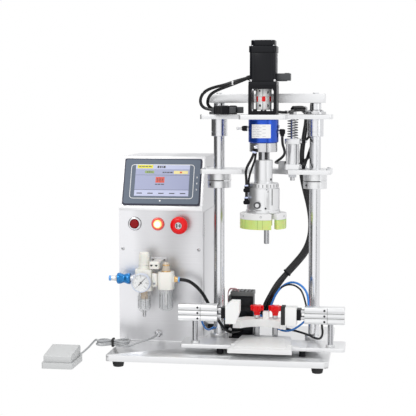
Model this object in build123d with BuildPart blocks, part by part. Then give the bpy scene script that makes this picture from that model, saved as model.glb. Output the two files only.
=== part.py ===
"""Desktop capping machine: a base plate with a control box, an air unit, a bottle table with side
clamps, and a spindle head that turns a three-jaw cap gripper and is lowered by an air cylinder.

Frame: millimetres, +X to the machine's right, +Y to its back, +Z up. The origin is the middle of
the bottle seat, straight under the spindle, so heights over the floor go through up().
"""
import os
from math import atan2, cos, degrees, hypot, radians, sin, tan

from build123d import *

os.makedirs("parts", exist_ok=True)

# ---------------------------------------------------------------- driving dimensions
seat_height = 54.0  # bottle seat over the floor
flat_gap = 0.2  # between flat faces that slide on each other
soft_gap = 0.3  # between round or soft faces of pieces that only lie near each other
run_gap = 0.05  # radial clearance of a shaft or bush that runs or slides

# base plate and feet
base_length, base_depth, base_thickness, base_corner = 483.0, 390.0, 13.4, 9.0
base_left, base_front = -337.0, -68.0
foot_height, foot_radius, foot_inset = 15.0, 13.5, 24.0

# control box
box_width, box_depth, sheet = 194.0, 230.0, 1.5
box_left, box_front = -341.0, 92.0
box_front_height, box_total_height, box_lean = 336.0, 452.0, 46.0
cover_screw_height, cover_screw_inset = 242.0, 9.0
screen_width, screen_height, bezel_stand = 180.0, 112.0, 5.0
display_width, display_height = 126.0, 72.0

# buttons on the box
button_height, button_hole, button_ring, estop_radius = 300.0, 11.25, 15.0, 20.0
red_button_x, lit_button_x, estop_x = -304.0, -250.0, -197.0
button_travel, estop_travel = 3.0, 4.0

# air preparation unit
air_y, air_height = 47.0, 180.0
filter_x, lube_x = -273.0, -223.0
filter_block, lube_block, bonnet_radius = 38.0, 35.0, 13.5
bowl_radius, lube_bowl_radius, knob_radius, gauge_radius = 14.5, 15.5, 12.2, 21.5
gauge_height = 176.5
bowl_bottom, block_bottom, filter_top, knob_bottom, knob_top = 105.0, 154.0, 203.0, 212.0, 241.0
lube_top, dome_top = 198.0, 220.0
valve_radius, valve_length, valve_right = 12.5, 35.0, -300.0

# columns and plates
column_spacing, column_y, column_radius = 214.0, 80.0, 12.5
column_top, tie_height, tie_length, tie_depth = 575.0, 20.0, 257.0, 40.0
foot_collar_radius, foot_collar_height = 20.0, 28.0
plate_width, plate_thickness = 288.0, 10.0
plate_front, plate_back = 32.0, 128.0
mid_plate_bottom, top_plate_bottom = 419.0, 539.5
spindle_relief = 60.0  # radius that the turning parts need where they pass the mid plate
tongue_width, tongue_front = 100.0, -38.0
split_collar_radius, split_collar_height = 26.5, 33.0
bearing_radius, bearing_bottom, bearing_flange_radius = 18.0, 501.0, 23.0
guide_rod_radius, guide_rod_y, guide_rod_bottom = 6.0, 78.0, 261.0

# head
head_travel = 20.0
cylinder_x, cylinder_y, cylinder_side, cylinder_top = 59.0, 52.0, 33.0, 497.0
lift_rod_radius, spring_radius, spring_wire, spring_turns = 5.0, 12.5, 2.4, 7
motor_side, motor_body, motor_bottom, motor_top, encoder_top = 60.0, 56.0, 612.0, 695.0, 708.0
union_radius, union_bottom = 32.5, 490.0
rotor_radius, rotor_bottom, rotor_neck = 30.0, 470.0, 19.0
shaft_radius, sleeve_radius, sleeve_top, sleeve_bottom = 11.0, 20.0, 453.0, 403.0
ring_radius, ring_height, gripper_radius, gripper_bottom = 33.0, 11.0, 35.5, 339.0
jaw_outer, jaw_inner, jaw_holder_height, jaw_pad_height = 50.5, 38.0, 13.0, 20.6
jaw_count, jaw_gap_angle, first_gap_angle, jaw_travel = 3, 15.0, -56.0, 4.0
coupling_radius, coupling_bottom, coupling_top = 17.0, 560.0, 606.0

# bottle table
table_length, table_front, table_depth, table_bottom, table_thickness = 359.0, -27.0, 79.0, 41.7, 8.3
spacer_radius, spacer_inset = 7.0, 12.0
tray_front, tray_back, tray_front_width, tray_back_width = -68.0, 80.0, 138.0, 112.0
tray_top, pad_rise = 52.0, 2.0
clamp_post_x, clamp_post_y, clamp_post_radius = 148.0, -9.0, 6.0
clamp_bottom, clamp_tall, clamp_deep, clamp_length = 99.5, 37.0, 25.0, 86.0
left_clamp_x, right_clamp_x = -184.0, 92.0
clamp_rod_radius, clamp_rod_pitch, clamp_travel = 3.5, 14.0, 20.0
locator_bottom, locator_thickness, locator_y = 76.0, 17.0, 72.0
locator_left, locator_right, locator_posts_x, locator_travel = -70.0, 48.0, (-20.0, 21.0), 12.0
star_radius, star_bottom, star_top = 15.0, 98.0, 123.0

# pedal
pedal_left, pedal_front, pedal_width, pedal_depth = -473.0, -94.0, 69.0, 90.0
pedal_back_height, pedal_front_height, pedal_wall = 38.0, 26.0, 3.0
pedal_angle = 6.0

# cords and hoses
pedal_cord_radius, hose_radius, motor_cord_radius, bundle_radius = 2.25, 3.0, 3.5, 9.0


# ---------------------------------------------------------------- helpers
def up(height):
    """A height over the floor, as this part's own Z."""
    return height - seat_height


def facing(x, y, z, direction):
    """A plane at a point, with its normal along the direction."""
    return Plane((x, y, z), z_dir=direction)


def front_plane(x, y, z):
    """A plane that faces the front, with its local x to the right and its local y up."""
    return Plane((x, y, z), x_dir=(1, 0, 0), z_dir=(0, -1, 0))


def boss(plane, radius, height, points=((0, 0),), mode=Mode.ADD):
    """Round bosses, or holes, of one radius raised from a plane."""
    with BuildSketch(plane) as profile:
        with Locations(*points):
            Circle(radius)
    extrude(profile.sketch, amount=height, mode=mode)


def block(plane, width, depth, height, points=((0, 0),), corner=0.0, mode=Mode.ADD):
    """Rectangular blocks, or pockets, raised from a plane, with optional round corners."""
    with BuildSketch(plane) as profile:
        with Locations(*points):
            if corner:
                RectangleRounded(width, depth, corner)
            else:
                Rectangle(width, depth)
    extrude(profile.sketch, amount=height, mode=mode)


def turned(origin, direction, outline, mode=Mode.ADD):
    """Spin an outline of (radius, distance) points about the line that leaves origin along direction."""
    across = Plane(origin, z_dir=direction)
    with BuildSketch(Plane(origin, x_dir=across.x_dir, z_dir=-across.y_dir)) as profile:
        with BuildLine():
            Polyline(*outline, close=True)
        make_face()
    revolve(profile.sketch, axis=Axis(origin, direction), mode=mode)


def cap_screw(x, y, z, direction, radius=2.5, head=4.5, length=10.0):
    """A socket cap screw whose head stands on the point, with its shank behind it."""
    head_height = 2 * radius
    turned((x, y, z), direction, [(0, -length), (radius, -length), (radius, 0), (head, 0),
                                  (head, head_height), (radius, head_height),
                                  (radius, head_height / 2), (0, head_height / 2)])


def corner_radii(points):
    """The largest arc at each corner of a route: 0.45 of its shorter run over tan(half the turn)."""
    found = []
    for before, here, after in zip(points, points[1:], points[2:]):
        run_in, run_out = Vector(*here) - Vector(*before), Vector(*after) - Vector(*here)
        half_turn = radians(run_in.get_angle(run_out)) / 2
        found.append(0.45 * min(run_in.length, run_out.length) / tan(half_turn))
    return found


def tube(points, radius, name):
    """A round tube along straight runs joined by tangent arcs."""
    radii = corner_radii(points)
    print(f"{name}: smallest bend {min(radii):.1f} mm")
    with BuildLine() as route:
        FilletPolyline(*points, radius=radii)
    start = Vector(*points[1]) - Vector(*points[0])
    with BuildSketch(Plane(points[0], z_dir=start)) as section:
        Circle(radius)
    sweep(section.sketch, path=route.wires()[0])


# ---------------------------------------------------------------- places worked out from the sizes
base_top = up(foot_height + base_thickness)
base_right, base_back = base_left + base_length, base_front + base_depth
base_mid_x, base_mid_y = base_left + base_length / 2, base_front + base_depth / 2
box_right, box_mid_x = box_left + box_width, box_left + box_width / 2
box_back = box_front + box_depth
slope_bottom = (box_front, up(box_front_height))
slope_top = (box_front + box_lean, up(box_total_height))
column_xs = (-column_spacing / 2, column_spacing / 2)
column_points = [(x, column_y) for x in column_xs]
mid_top = up(mid_plate_bottom + plate_thickness)
top_plate_top = up(top_plate_bottom + plate_thickness)
table_top = up(table_bottom + table_thickness)
table_mid_y = table_front + table_depth / 2
clamp_mid = up(clamp_bottom + clamp_tall / 2)
locator_top = up(locator_bottom + locator_thickness)

# ---------------------------------------------------------------- base
with BuildPart() as base_plate:
    block(Plane((base_mid_x, base_mid_y, base_top - base_thickness)), base_length, base_depth,
          base_thickness, corner=base_corner)
    chamfer(base_plate.faces().sort_by(Axis.Z)[-1].outer_wire().edges(), 1.2)
    with Locations(Location((0, column_y, base_top - base_thickness), (180, 0, 0))):
        with Locations((column_xs[0], 0), (column_xs[1], 0)):
            CounterBoreHole(4.5, 7.5, 8)
base_plate.part.label = "base_plate"
export_step(base_plate.part, "parts/base_plate.step")

foot_points = [(x, y) for x in (base_left + foot_inset, base_right - foot_inset)
               for y in (base_front + foot_inset, base_back - foot_inset)]
with BuildPart() as base_feet:
    for x, y in foot_points:
        turned((x, y, up(0)), (0, 0, 1), [(0, 0), (foot_radius - 2.5, 0), (foot_radius - 1.5, 1),
                                         (foot_radius, foot_height), (0, foot_height)])
base_feet.part.label = "base_feet"
export_step(base_feet.part, "parts/base_feet.step")

# ---------------------------------------------------------------- control box
side_outline = [(box_front, base_top), slope_bottom, slope_top, (box_back, up(box_total_height)),
                (box_back, base_top)]
slope_length = hypot(box_lean, box_total_height - box_front_height)
slope_normal = Vector(0, slope_bottom[1] - slope_top[1], box_lean)
slope_plane = Plane((box_mid_x, (slope_bottom[0] + slope_top[0]) / 2, (slope_bottom[1] + slope_top[1]) / 2),
                    x_dir=(1, 0, 0), z_dir=slope_normal)
panel_cut_width, panel_cut_height = screen_width - 14, screen_height - 14
gland_x, gland_height, gland_hole = -249.0, 48.0, 6.0
bundle_exit = (box_right, 172.0, up(50))
bundle_hole = bundle_radius + 2 * soft_gap
inlet_x, inlet_height, inlet_wide, inlet_tall = box_mid_x + 45, 80.0, 48.0, 28.0
lock_y, lock_height, lock_hole = 298.0, 236.0, 5.0

with BuildPart() as control_box_shell:
    with BuildSketch(Plane.YZ.offset(box_left)) as box_side:
        with BuildLine():
            Polyline(*side_outline, close=True)
        make_face()
    extrude(amount=box_width)
    with BuildSketch(Plane.YZ.offset(box_left + sheet)) as box_space:
        with BuildLine():
            Polyline((box_front + sheet, base_top - 1), (box_front + sheet, slope_bottom[1]),
                     (slope_top[0] + sheet, slope_top[1] - sheet), (box_back + 1, slope_top[1] - sheet),
                     (box_back + 1, base_top - 1), close=True)
        make_face()
    extrude(amount=box_width - 2 * sheet, mode=Mode.SUBTRACT)
    block(slope_plane.offset(-8), panel_cut_width, panel_cut_height, 16, mode=Mode.SUBTRACT)
    for x in (red_button_x, lit_button_x, estop_x):
        boss(front_plane(x, box_front + 5, up(button_height)), button_hole, 10, mode=Mode.SUBTRACT)
    boss(front_plane(gland_x, box_front + 5, up(gland_height)), gland_hole, 10, mode=Mode.SUBTRACT)
    boss(facing(box_right - 5, bundle_exit[1], bundle_exit[2], (1, 0, 0)), bundle_hole, 10,
         mode=Mode.SUBTRACT)
    boss(facing(box_right - 5, lock_y, up(lock_height), (1, 0, 0)), lock_hole, 10, mode=Mode.SUBTRACT)
    for x in (box_left + cover_screw_inset, box_right - cover_screw_inset):
        boss(front_plane(x, box_front + 5, up(cover_screw_height)), 2.2, 10, mode=Mode.SUBTRACT)
control_box_shell.part.label = "control_box_shell"
export_step(control_box_shell.part, "parts/control_box_shell.step")

back_width, back_height = box_width - 2 * sheet - 2 * flat_gap, box_total_height - foot_height - base_thickness
back_plane = Plane((box_mid_x, box_back - sheet, base_top + (back_height - sheet) / 2),
                   x_dir=(-1, 0, 0), z_dir=(0, 1, 0))
vent_points = [(0, 95 - 12 * row) for row in range(8)]
with BuildPart() as control_box_back:
    block(back_plane, back_width, back_height - sheet - 2 * flat_gap, sheet)
    block(back_plane.offset(-1), 90, 4, sheet + 2, points=vent_points, corner=1.9, mode=Mode.SUBTRACT)
    block(Plane((inlet_x, box_back - 5, up(inlet_height)), x_dir=(1, 0, 0), z_dir=(0, 1, 0)),
          inlet_wide, inlet_tall, 10, mode=Mode.SUBTRACT)
control_box_back.part.label = "control_box_back"
export_step(control_box_back.part, "parts/control_box_back.step")

with BuildPart() as hmi_panel:
    block(slope_plane, screen_width, screen_height, bezel_stand, corner=4)
    chamfer(hmi_panel.faces().sort_by(Axis(slope_plane.origin, slope_normal))[-1].edges(), 1.2)
    block(slope_plane.offset(bezel_stand - 2), display_width, display_height, 3, mode=Mode.SUBTRACT)
    block(slope_plane.offset(-32), panel_cut_width - 2, panel_cut_height - 2, 32)
    # the glass of the display, let into the bezel as a solid of its own
    block(slope_plane.offset(bezel_stand - 2 + flat_gap), display_width - 2 * flat_gap,
          display_height - 2 * flat_gap, 1.4)
hmi_panel.part.label = "hmi_panel"
export_step(hmi_panel.part, "parts/hmi_panel.step")

# Each button has a ring outside the sheet, a threaded barrel through it, and a nut and a
# contact block behind it. The cap slides in the barrel.
barrel_radius, cap_radius, ring_stand, barrel_back = 11.0, 9.5, 5.0, 24.0
with BuildPart() as button_bodies:
    for x in (red_button_x, lit_button_x, estop_x):
        face = (x, box_front, up(button_height))
        turned(face, (0, -1, 0), [(cap_radius + flat_gap, -barrel_back), (barrel_radius, -barrel_back),
                                  (barrel_radius, 0), (button_ring, 0), (button_ring, ring_stand - 1.5),
                                  (button_ring - 1.5, ring_stand), (cap_radius + flat_gap, ring_stand)])
        turned(face, (0, -1, 0), [(barrel_radius + run_gap, -sheet - 4), (button_ring - 1, -sheet - 4),
                                  (button_ring - 1, -sheet), (barrel_radius + run_gap, -sheet)])
        block(front_plane(x, box_front + barrel_back, up(button_height)).offset(-22), 28, 40, 22)
button_bodies.part.label = "button_bodies"
export_step(button_bodies.part, "parts/button_bodies.step")

with BuildPart() as red_button_cap:
    turned((red_button_x, box_front, up(button_height)), (0, -1, 0),
           [(0, -14), (cap_radius, -14), (cap_radius, ring_stand + 1.5), (cap_radius - 1.5, ring_stand + 3),
            (0, ring_stand + 3.4)])
red_button_cap.part.label = "red_button_cap"
export_step(red_button_cap.part, "parts/red_button_cap.step")

with BuildPart() as lit_button_cap:
    turned((lit_button_x, box_front, up(button_height)), (0, -1, 0),
           [(0, -14), (cap_radius, -14), (cap_radius, ring_stand + 2), (cap_radius - 1.5, ring_stand + 3.5),
            (0, ring_stand + 4)])
lit_button_cap.part.label = "lit_button_cap"
export_step(lit_button_cap.part, "parts/lit_button_cap.step")

estop_stand, key_radius = 34.0, 6.0
with BuildPart() as estop_head:
    turned((estop_x, box_front, up(button_height)), (0, -1, 0),
           [(0, -14), (cap_radius, -14), (cap_radius, 12), (14, 16), (18, 18), (estop_radius, 21),
            (estop_radius, 27), (18.5, 30.5), (15, 33), (10, estop_stand), (key_radius + run_gap, estop_stand),
            (key_radius + run_gap, 24), (0, 24)])
estop_head.part.label = "estop_head"
export_step(estop_head.part, "parts/estop_head.step")

with BuildPart() as estop_key:
    turned((estop_x, box_front, up(button_height)), (0, -1, 0),
           [(0, 24 + flat_gap), (key_radius, 24 + flat_gap), (key_radius, estop_stand - 0.5),
            (key_radius - 0.6, estop_stand), (0, estop_stand)])
    block(front_plane(estop_x, box_front - estop_stand + 1.5, up(button_height)), 1.2, 6, 4,
          mode=Mode.SUBTRACT)
estop_key.part.label = "estop_key"
export_step(estop_key.part, "parts/estop_key.step")

# Cam lock of the side door: a round barrel with a slotted head outside and a cam tongue inside.
with BuildPart() as cam_lock:
    turned((box_right, lock_y, up(lock_height)), (1, 0, 0),
           [(0, -14), (lock_hole - run_gap, -14), (lock_hole - run_gap, soft_gap), (8, soft_gap), (8, 4),
            (6.5, 6), (0, 6)])
    block(facing(box_right + 4, lock_y, up(lock_height), (1, 0, 0)), 9, 1.5, 3, mode=Mode.SUBTRACT)
    block(Plane((box_right - 13, lock_y, up(lock_height) - 12), x_dir=(0, 1, 0), z_dir=(-1, 0, 0)),
          9, 34, 2.5)
cam_lock.part.label = "cam_lock"
export_step(cam_lock.part, "parts/cam_lock.step")

# Inside the box: a mounting plate on the base, the spindle's drive, a power supply and a
# terminal strip.
gear_y = box_back - 95
with BuildPart() as control_gear:
    gear_plane = front_plane(box_mid_x, gear_y, base_top + 130)
    block(gear_plane, box_width - 30, 240, 3)
    block(front_plane(box_mid_x, gear_y + 3, base_top + 5), box_width - 30, 10, 12)
    block(gear_plane.offset(3), 50, 160, 85, points=((-48, 30),))
    block(gear_plane.offset(3), 70, 110, 42, points=((30, 50),))
    block(gear_plane.offset(3), 100, 14, 26, points=((18, -70),))
control_gear.part.label = "control_gear"
export_step(control_gear.part, "parts/control_gear.step")

with BuildPart() as power_inlet:
    rear = Plane((inlet_x, box_back, up(inlet_height)), x_dir=(-1, 0, 0), z_dir=(0, 1, 0))
    block(rear.offset(-28), inlet_wide - 2 * flat_gap, inlet_tall - 2 * flat_gap, 28)
    block(rear, inlet_wide + 12, inlet_tall + 4, 3, corner=3)
    block(rear.offset(-13), 22, 16, 18, points=((-11, 0),), mode=Mode.SUBTRACT)
    block(rear.offset(-13), 2, 6, 9, points=((-15, 2), (-7, 2), (-11, -4)))
    block(rear.offset(1.5), 14, 21, 5, points=((13, 0),), corner=1)
power_inlet.part.label = "power_inlet"
export_step(power_inlet.part, "parts/power_inlet.step")

gland_face = (gland_x, box_front, up(gland_height))
gland_length = 16.0
with BuildPart() as cable_gland:
    turned(gland_face, (0, -1, 0),
           [(pedal_cord_radius, -12), (gland_hole - run_gap, -12), (gland_hole - run_gap, 0), (8.5, 0),
            (8.5, 5), (7, 6), (7, 12), (4.5, gland_length), (pedal_cord_radius, gland_length)])
cable_gland.part.label = "cable_gland"
export_step(cable_gland.part, "parts/cable_gland.step")

# ---------------------------------------------------------------- air preparation unit
air_z = up(air_height)
with BuildPart() as frl_bracket:
    bracket_x = filter_x + bonnet_radius + 12
    block(front_plane(bracket_x, box_front, up(199)), 40, 50, 3, corner=3)
    block(front_plane(bracket_x, box_front - 3, up(217)), 20, 4, 62)
    block(front_plane(bracket_x, air_y + 4, up(213)), 22, 16, 22, corner=3)
    boss(front_plane(bracket_x, air_y - 18, up(214)), 3.2, 3, points=((-5.5, 0), (5.5, 0)))
frl_bracket.part.label = "frl_bracket"
export_step(frl_bracket.part, "parts/frl_bracket.step")

gauge_y = air_y - filter_block / 2
port_radius = 9.0
with BuildPart() as frl_bodies:
    # the filter regulator, its bonnet and ports
    block(Plane((filter_x, air_y, up(block_bottom))), filter_block, filter_block,
          filter_top - block_bottom, corner=5)
    boss(Plane((filter_x, air_y, up(filter_top))), bonnet_radius, knob_bottom - filter_top)
    boss(facing(filter_x - filter_block / 2, air_y, air_z, (-1, 0, 0)), port_radius, 3)
    boss(front_plane(filter_x, gauge_y, up(gauge_height)), 7, 3)
    # the lubricator beside it
    block(Plane((lube_x, air_y, up(158))), lube_block, lube_block, lube_top - 158, corner=7)
    boss(facing(lube_x + lube_block / 2, air_y, air_z, (1, 0, 0)), port_radius, 2)
    # the joining clamp between them
    link_left, link_right = filter_x + filter_block / 2, lube_x - lube_block / 2
    block(front_plane((link_left + link_right) / 2, air_y + 11, air_z), link_right - link_left, 26, 24)
frl_bodies.part.label = "frl_bodies"
export_step(frl_bodies.part, "parts/frl_bodies.step")


def bowl(x, radius, top, bottom, drain):
    """A clear bowl: a thin cup with a round bottom, open at the top, with a drain stub below."""
    wall = 2.0
    turned((x, air_y, up(bottom)), (0, 0, 1),
           [(0, 0), (radius - 4, 0), (radius - 1, 3), (radius, 8), (radius, up(top) - up(bottom)),
            (radius - wall, up(top) - up(bottom)), (radius - wall, 9), (radius - wall - 2, 4), (0, 3)])
    if drain:
        turned((x, air_y, up(bottom)), (0, 0, 1), [(0, -drain), (3.5, -drain), (4.5, 0), (0, 0)])


with BuildPart() as frl_bowls:
    bowl(filter_x, bowl_radius, block_bottom, bowl_bottom, 12)
    bowl(lube_x, lube_bowl_radius, 158, 108, 0)
    # the amber filter element, its baffle disc, and the feed tube in the lubricator
    turned((filter_x, air_y, up(block_bottom)), (0, 0, -1), [(0, 0), (8, 0), (8, 19), (0, 19)])
    turned((filter_x, air_y, up(block_bottom - 19)), (0, 0, -1), [(0, 0), (11, 0), (11, 4), (3, 4), (0, 4)])
    turned((lube_x, air_y, up(158)), (0, 0, -1), [(0, 0), (2.5, 0), (2.5, 40), (0, 40)])
    # the sight dome on the lubricator
    turned((lube_x, air_y, up(lube_top)), (0, 0, 1),
           [(0, 0), (10, 0), (10, 5), (8, 7), (8, 16), (6, dome_top - lube_top), (0, dome_top - lube_top)])
frl_bowls.part.label = "frl_bowls"
export_step(frl_bowls.part, "parts/frl_bowls.step")

with BuildPart() as regulator_knob:
    turned((filter_x, air_y, up(knob_bottom) + flat_gap), (0, 0, 1),
           [(0, 0), (knob_radius + 0.8, 0), (knob_radius + 0.8, 3), (knob_radius, 4),
            (knob_radius - 0.8, knob_top - knob_bottom - 2), (knob_radius - 3, knob_top - knob_bottom),
            (0, knob_top - knob_bottom)])
regulator_knob.part.label = "regulator_knob"
export_step(regulator_knob.part, "parts/regulator_knob.step")

gauge_back, gauge_deep = gauge_y - 3, 21.0
with BuildPart() as gauge_case:
    turned((filter_x, gauge_back, up(gauge_height)), (0, -1, 0),
           [(0, 0), (gauge_radius - 2, 0), (gauge_radius, 2), (gauge_radius, gauge_deep),
            (gauge_radius - 1.6, gauge_deep), (gauge_radius - 1.6, gauge_deep - 4), (1.2, gauge_deep - 4),
            (1.2, gauge_deep - 2.5), (0, gauge_deep - 2.5)])
gauge_case.part.label = "gauge_case"
export_step(gauge_case.part, "parts/gauge_case.step")

needle_angle = 48.0
needle_front = gauge_back - gauge_deep + 4 - soft_gap
with BuildPart() as gauge_needle:
    needle_plane = Plane((filter_x, needle_front, up(gauge_height)), x_dir=(cos(radians(needle_angle)), 0,
                                                                   sin(radians(needle_angle))), z_dir=(0, -1, 0))
    with BuildSketch(needle_plane) as needle_shape:
        with BuildLine():
            Polyline((-8, -1.2), (0, -1.6), (15, -0.3), (15, 0.3), (0, 1.6), (-8, 1.2), close=True)
        make_face()
        Circle(2.6)
        Circle(1.2 + run_gap, mode=Mode.SUBTRACT)
    extrude(amount=0.8)
gauge_needle.part.label = "gauge_needle"
export_step(gauge_needle.part, "parts/gauge_needle.step")

# Hand slide valve on the inlet: a core tube with a collar at each end, and a sleeve that slides.
valve_left = valve_right - valve_length
core_radius, sleeve_length, outlet_length = 7.0, valve_length - 4.0, 12.0
filter_port = filter_x - filter_block / 2 - 3
lube_port = lube_x + lube_block / 2 + 2
with BuildPart() as air_fittings:
    turned((filter_port, air_y, air_z), (-1, 0, 0),
           [(0, 0), (8.5, 0), (8.5, 3), (core_radius, 4), (core_radius, filter_port - valve_left + 2), (6, filter_port - valve_left + 3),
            (6, filter_port - valve_left + 10), (0, filter_port - valve_left + 10)])
    turned((valve_left - 10, air_y, air_z), (-1, 0, 0),
           [(0, 0), (5.6, 0), (5.6, 6), (6.2, 6.5), (6.2, 9), (4.1, 9), (4.1, 2), (0, 2)])
    turned((lube_port, air_y, air_z), (1, 0, 0),
           [(0, 0), (7, 0), (7, 4), (6, 5), (6, 8), (6.4, 9), (6.4, outlet_length), (0, outlet_length)])
air_fittings.part.label = "air_fittings"
export_step(air_fittings.part, "parts/air_fittings.step")

with BuildPart() as slide_valve_sleeve:
    bulge, waist = valve_radius, valve_radius - 2.5
    turned((valve_left, air_y, air_z), (1, 0, 0),
           [(core_radius + run_gap, 0), (bulge - 1.5, 0), (bulge, 2), (bulge, 9), (waist, 13), (waist, 18), (bulge, 22),
            (bulge, sleeve_length - 2), (bulge - 1.5, sleeve_length), (core_radius + run_gap, sleeve_length)])
slide_valve_sleeve.part.label = "slide_valve_sleeve"
export_step(slide_valve_sleeve.part, "parts/slide_valve_sleeve.step")

# ---------------------------------------------------------------- columns and fixed plates
with BuildPart() as columns:
    boss(Plane.XY.offset(base_top), column_radius, up(column_top) - base_top, points=column_points)
columns.part.label = "columns"
export_step(columns.part, "parts/columns.step")

slit_height, slit_screw = 1.6, 2.6
column_bore = column_radius + run_gap
with BuildPart() as column_collars:
    for x, y in column_points:
        turned((x, y, base_top), (0, 0, 1),
               [(column_bore, 0), (foot_collar_radius, 0), (foot_collar_radius, foot_collar_height - 1.5),
                (foot_collar_radius - 1.5, foot_collar_height), (column_bore, foot_collar_height)])
        turned((x, y, up(mid_plate_bottom)), (0, 0, -1),
               [(column_bore, 0), (split_collar_radius, 0), (split_collar_radius, split_collar_height - 1),
                (split_collar_radius - 1, split_collar_height), (column_bore, split_collar_height)])
        collar_mid = up(mid_plate_bottom) - split_collar_height / 2
        block(Plane((x, y - split_collar_radius, collar_mid - slit_height / 2)), 3 * split_collar_radius,
              2 * split_collar_radius - 8, slit_height, mode=Mode.SUBTRACT)
        boss(front_plane(x - 17, y, collar_mid - 8), slit_screw, 30, mode=Mode.SUBTRACT)
column_collars.part.label = "column_collars"
export_step(column_collars.part, "parts/column_collars.step")

with BuildPart() as tie_bar:
    block(Plane((0, column_y, up(column_top))), tie_length, tie_depth, tie_height, corner=4)
    boss(Plane.XY.offset(up(column_top) - 1), 4.6, tie_height + 2, points=column_points, mode=Mode.SUBTRACT)
tie_bar.part.label = "tie_bar"
export_step(tie_bar.part, "parts/tie_bar.step")

with BuildPart() as frame_screws:
    for x, y in column_points:
        cap_screw(x, y, up(column_top) + tie_height, (0, 0, 1), radius=4, head=6.5, length=tie_height)
        cap_screw(x, y, base_top - base_thickness + 8, (0, 0, -1), radius=3.9, head=6.5,
                  length=base_thickness - 8)
    for x in (box_left + cover_screw_inset, box_right - cover_screw_inset):
        turned((x, box_front, up(cover_screw_height)), (0, -1, 0), [(0, -6), (2, -6), (2, 0), (4, 0), (3, 2), (0, 2.4)])
frame_screws.part.label = "frame_screws"
export_step(frame_screws.part, "parts/frame_screws.step")

plate_mid_y, plate_depth = (plate_front + plate_back) / 2, plate_back - plate_front
rod_bore = guide_rod_radius + run_gap
stud_radius = 5.0
with BuildPart() as mid_plate:
    with BuildSketch(Plane.XY.offset(up(mid_plate_bottom))):
        with Locations((0, plate_mid_y)):
            RectangleRounded(plate_width, plate_depth, 6)
        Circle(spindle_relief, mode=Mode.SUBTRACT)
        with Locations(*column_points):
            Circle(column_bore, mode=Mode.SUBTRACT)
        with Locations((0, guide_rod_y)):
            Circle(rod_bore, mode=Mode.SUBTRACT)
        with Locations((cylinder_x, cylinder_y)):
            Circle(stud_radius + run_gap, mode=Mode.SUBTRACT)
    extrude(amount=plate_thickness)
    # sensor bracket that stands on the plate beside the sleeve, and the guide rod's bush
    block(Plane((34, 68, mid_top)), 14, 12, 18)
    turned((0, guide_rod_y, mid_top), (0, 0, 1), [(rod_bore, 0), (11, 0), (11, 6), (9, 8), (rod_bore, 8)])
    # the clip on its back edge that holds the cable bundle
    clip_x, clip_y, clip_bore, clip_height = 75.4, 139.9, bundle_radius + 3 * soft_gap, 7.0
    turned((clip_x, clip_y, up(mid_plate_bottom) - 2), (0, 0, 1),
           [(clip_bore, 0), (clip_bore + 1.6, 0), (clip_bore + 1.6, clip_height), (clip_bore, clip_height)])
    block(Plane((clip_x, plate_back, up(mid_plate_bottom))), 10, 4.4, clip_height - 2)
mid_plate.part.label = "mid_plate"
export_step(mid_plate.part, "parts/mid_plate.step")

cap_tall, tie_rod_at, elbow_x = 12.0, cylinder_side / 2 - 5, cylinder_x + cylinder_side / 2 + 8
lift_bore = lift_rod_radius + run_gap
with BuildPart() as lift_cylinder:
    foot = Plane((cylinder_x, cylinder_y, mid_top))
    head = Plane((cylinder_x, cylinder_y, up(cylinder_top) - cap_tall))
    corners = [(sx * tie_rod_at, sy * tie_rod_at) for sx in (-1, 1) for sy in (-1, 1)]
    block(foot, cylinder_side, cylinder_side, cap_tall, corner=2)
    block(head, cylinder_side, cylinder_side, cap_tall, corner=2)
    boss(foot.offset(cap_tall), 13.5, up(cylinder_top) - mid_top - 2 * cap_tall)
    boss(foot.offset(cap_tall), 2.5, up(cylinder_top) - mid_top - 2 * cap_tall, points=corners)
    boss(foot.offset(6), lift_bore, up(cylinder_top) - mid_top - 6, mode=Mode.SUBTRACT)
    boss(foot.offset(-plate_thickness - 14), stud_radius, plate_thickness + 14)
    with BuildSketch(foot.offset(-plate_thickness - 7)):
        RegularPolygon(9, 6)
    extrude(amount=7)
    # speed controllers: a threaded stub and a knurled body on the right side of each end cap
    for z in (mid_top + cap_tall / 2, up(cylinder_top) - cap_tall / 2):
        turned((cylinder_x + cylinder_side / 2, cylinder_y - 4, z), (1, 0, 0),
               [(0, 0), (5, 0), (5, 5), (4, 6), (4, 12), (0, 12)])
        boss(facing(elbow_x, cylinder_y - 4, z, (0, 1, 0)), 3.6, 9)
lift_cylinder.part.label = "lift_cylinder"
export_step(lift_cylinder.part, "parts/lift_cylinder.step")

coil_radius = spring_radius - spring_wire / 2
spring_start = up(cylinder_top) + spring_wire / 2 + flat_gap
spring_height = up(top_plate_bottom) - up(cylinder_top) - spring_wire - 2 * flat_gap
with BuildPart() as lift_spring:
    with BuildLine() as coil:
        Helix(pitch=spring_height / spring_turns, height=spring_height, radius=coil_radius,
              center=(cylinder_x, cylinder_y, spring_start))
    with BuildSketch(Plane(coil.line @ 0, z_dir=coil.line % 0)):
        Circle(spring_wire / 2)
    sweep()
lift_spring.part.label = "lift_spring"
export_step(lift_spring.part, "parts/lift_spring.step")

# ---------------------------------------------------------------- moving head
bearing_hole = bearing_radius + run_gap
with BuildPart() as top_plate:
    with BuildSketch(Plane.XY.offset(up(top_plate_bottom))):
        with Locations((0, plate_mid_y)):
            RectangleRounded(plate_width, plate_depth, 6)
        with Locations((0, (tongue_front + plate_mid_y) / 2)):
            RectangleRounded(tongue_width, plate_mid_y - tongue_front, 6)
        with Locations(*column_points):
            Circle(bearing_hole, mode=Mode.SUBTRACT)
        Circle(rotor_neck - 3, mode=Mode.SUBTRACT)
        with Locations((0, guide_rod_y)):
            Circle(rod_bore, mode=Mode.SUBTRACT)
        with Locations((cylinder_x, cylinder_y)):
            Circle(lift_rod_radius - 1 + run_gap, mode=Mode.SUBTRACT)
    extrude(amount=plate_thickness)
top_plate.part.label = "top_plate"
export_step(top_plate.part, "parts/top_plate.step")

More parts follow.
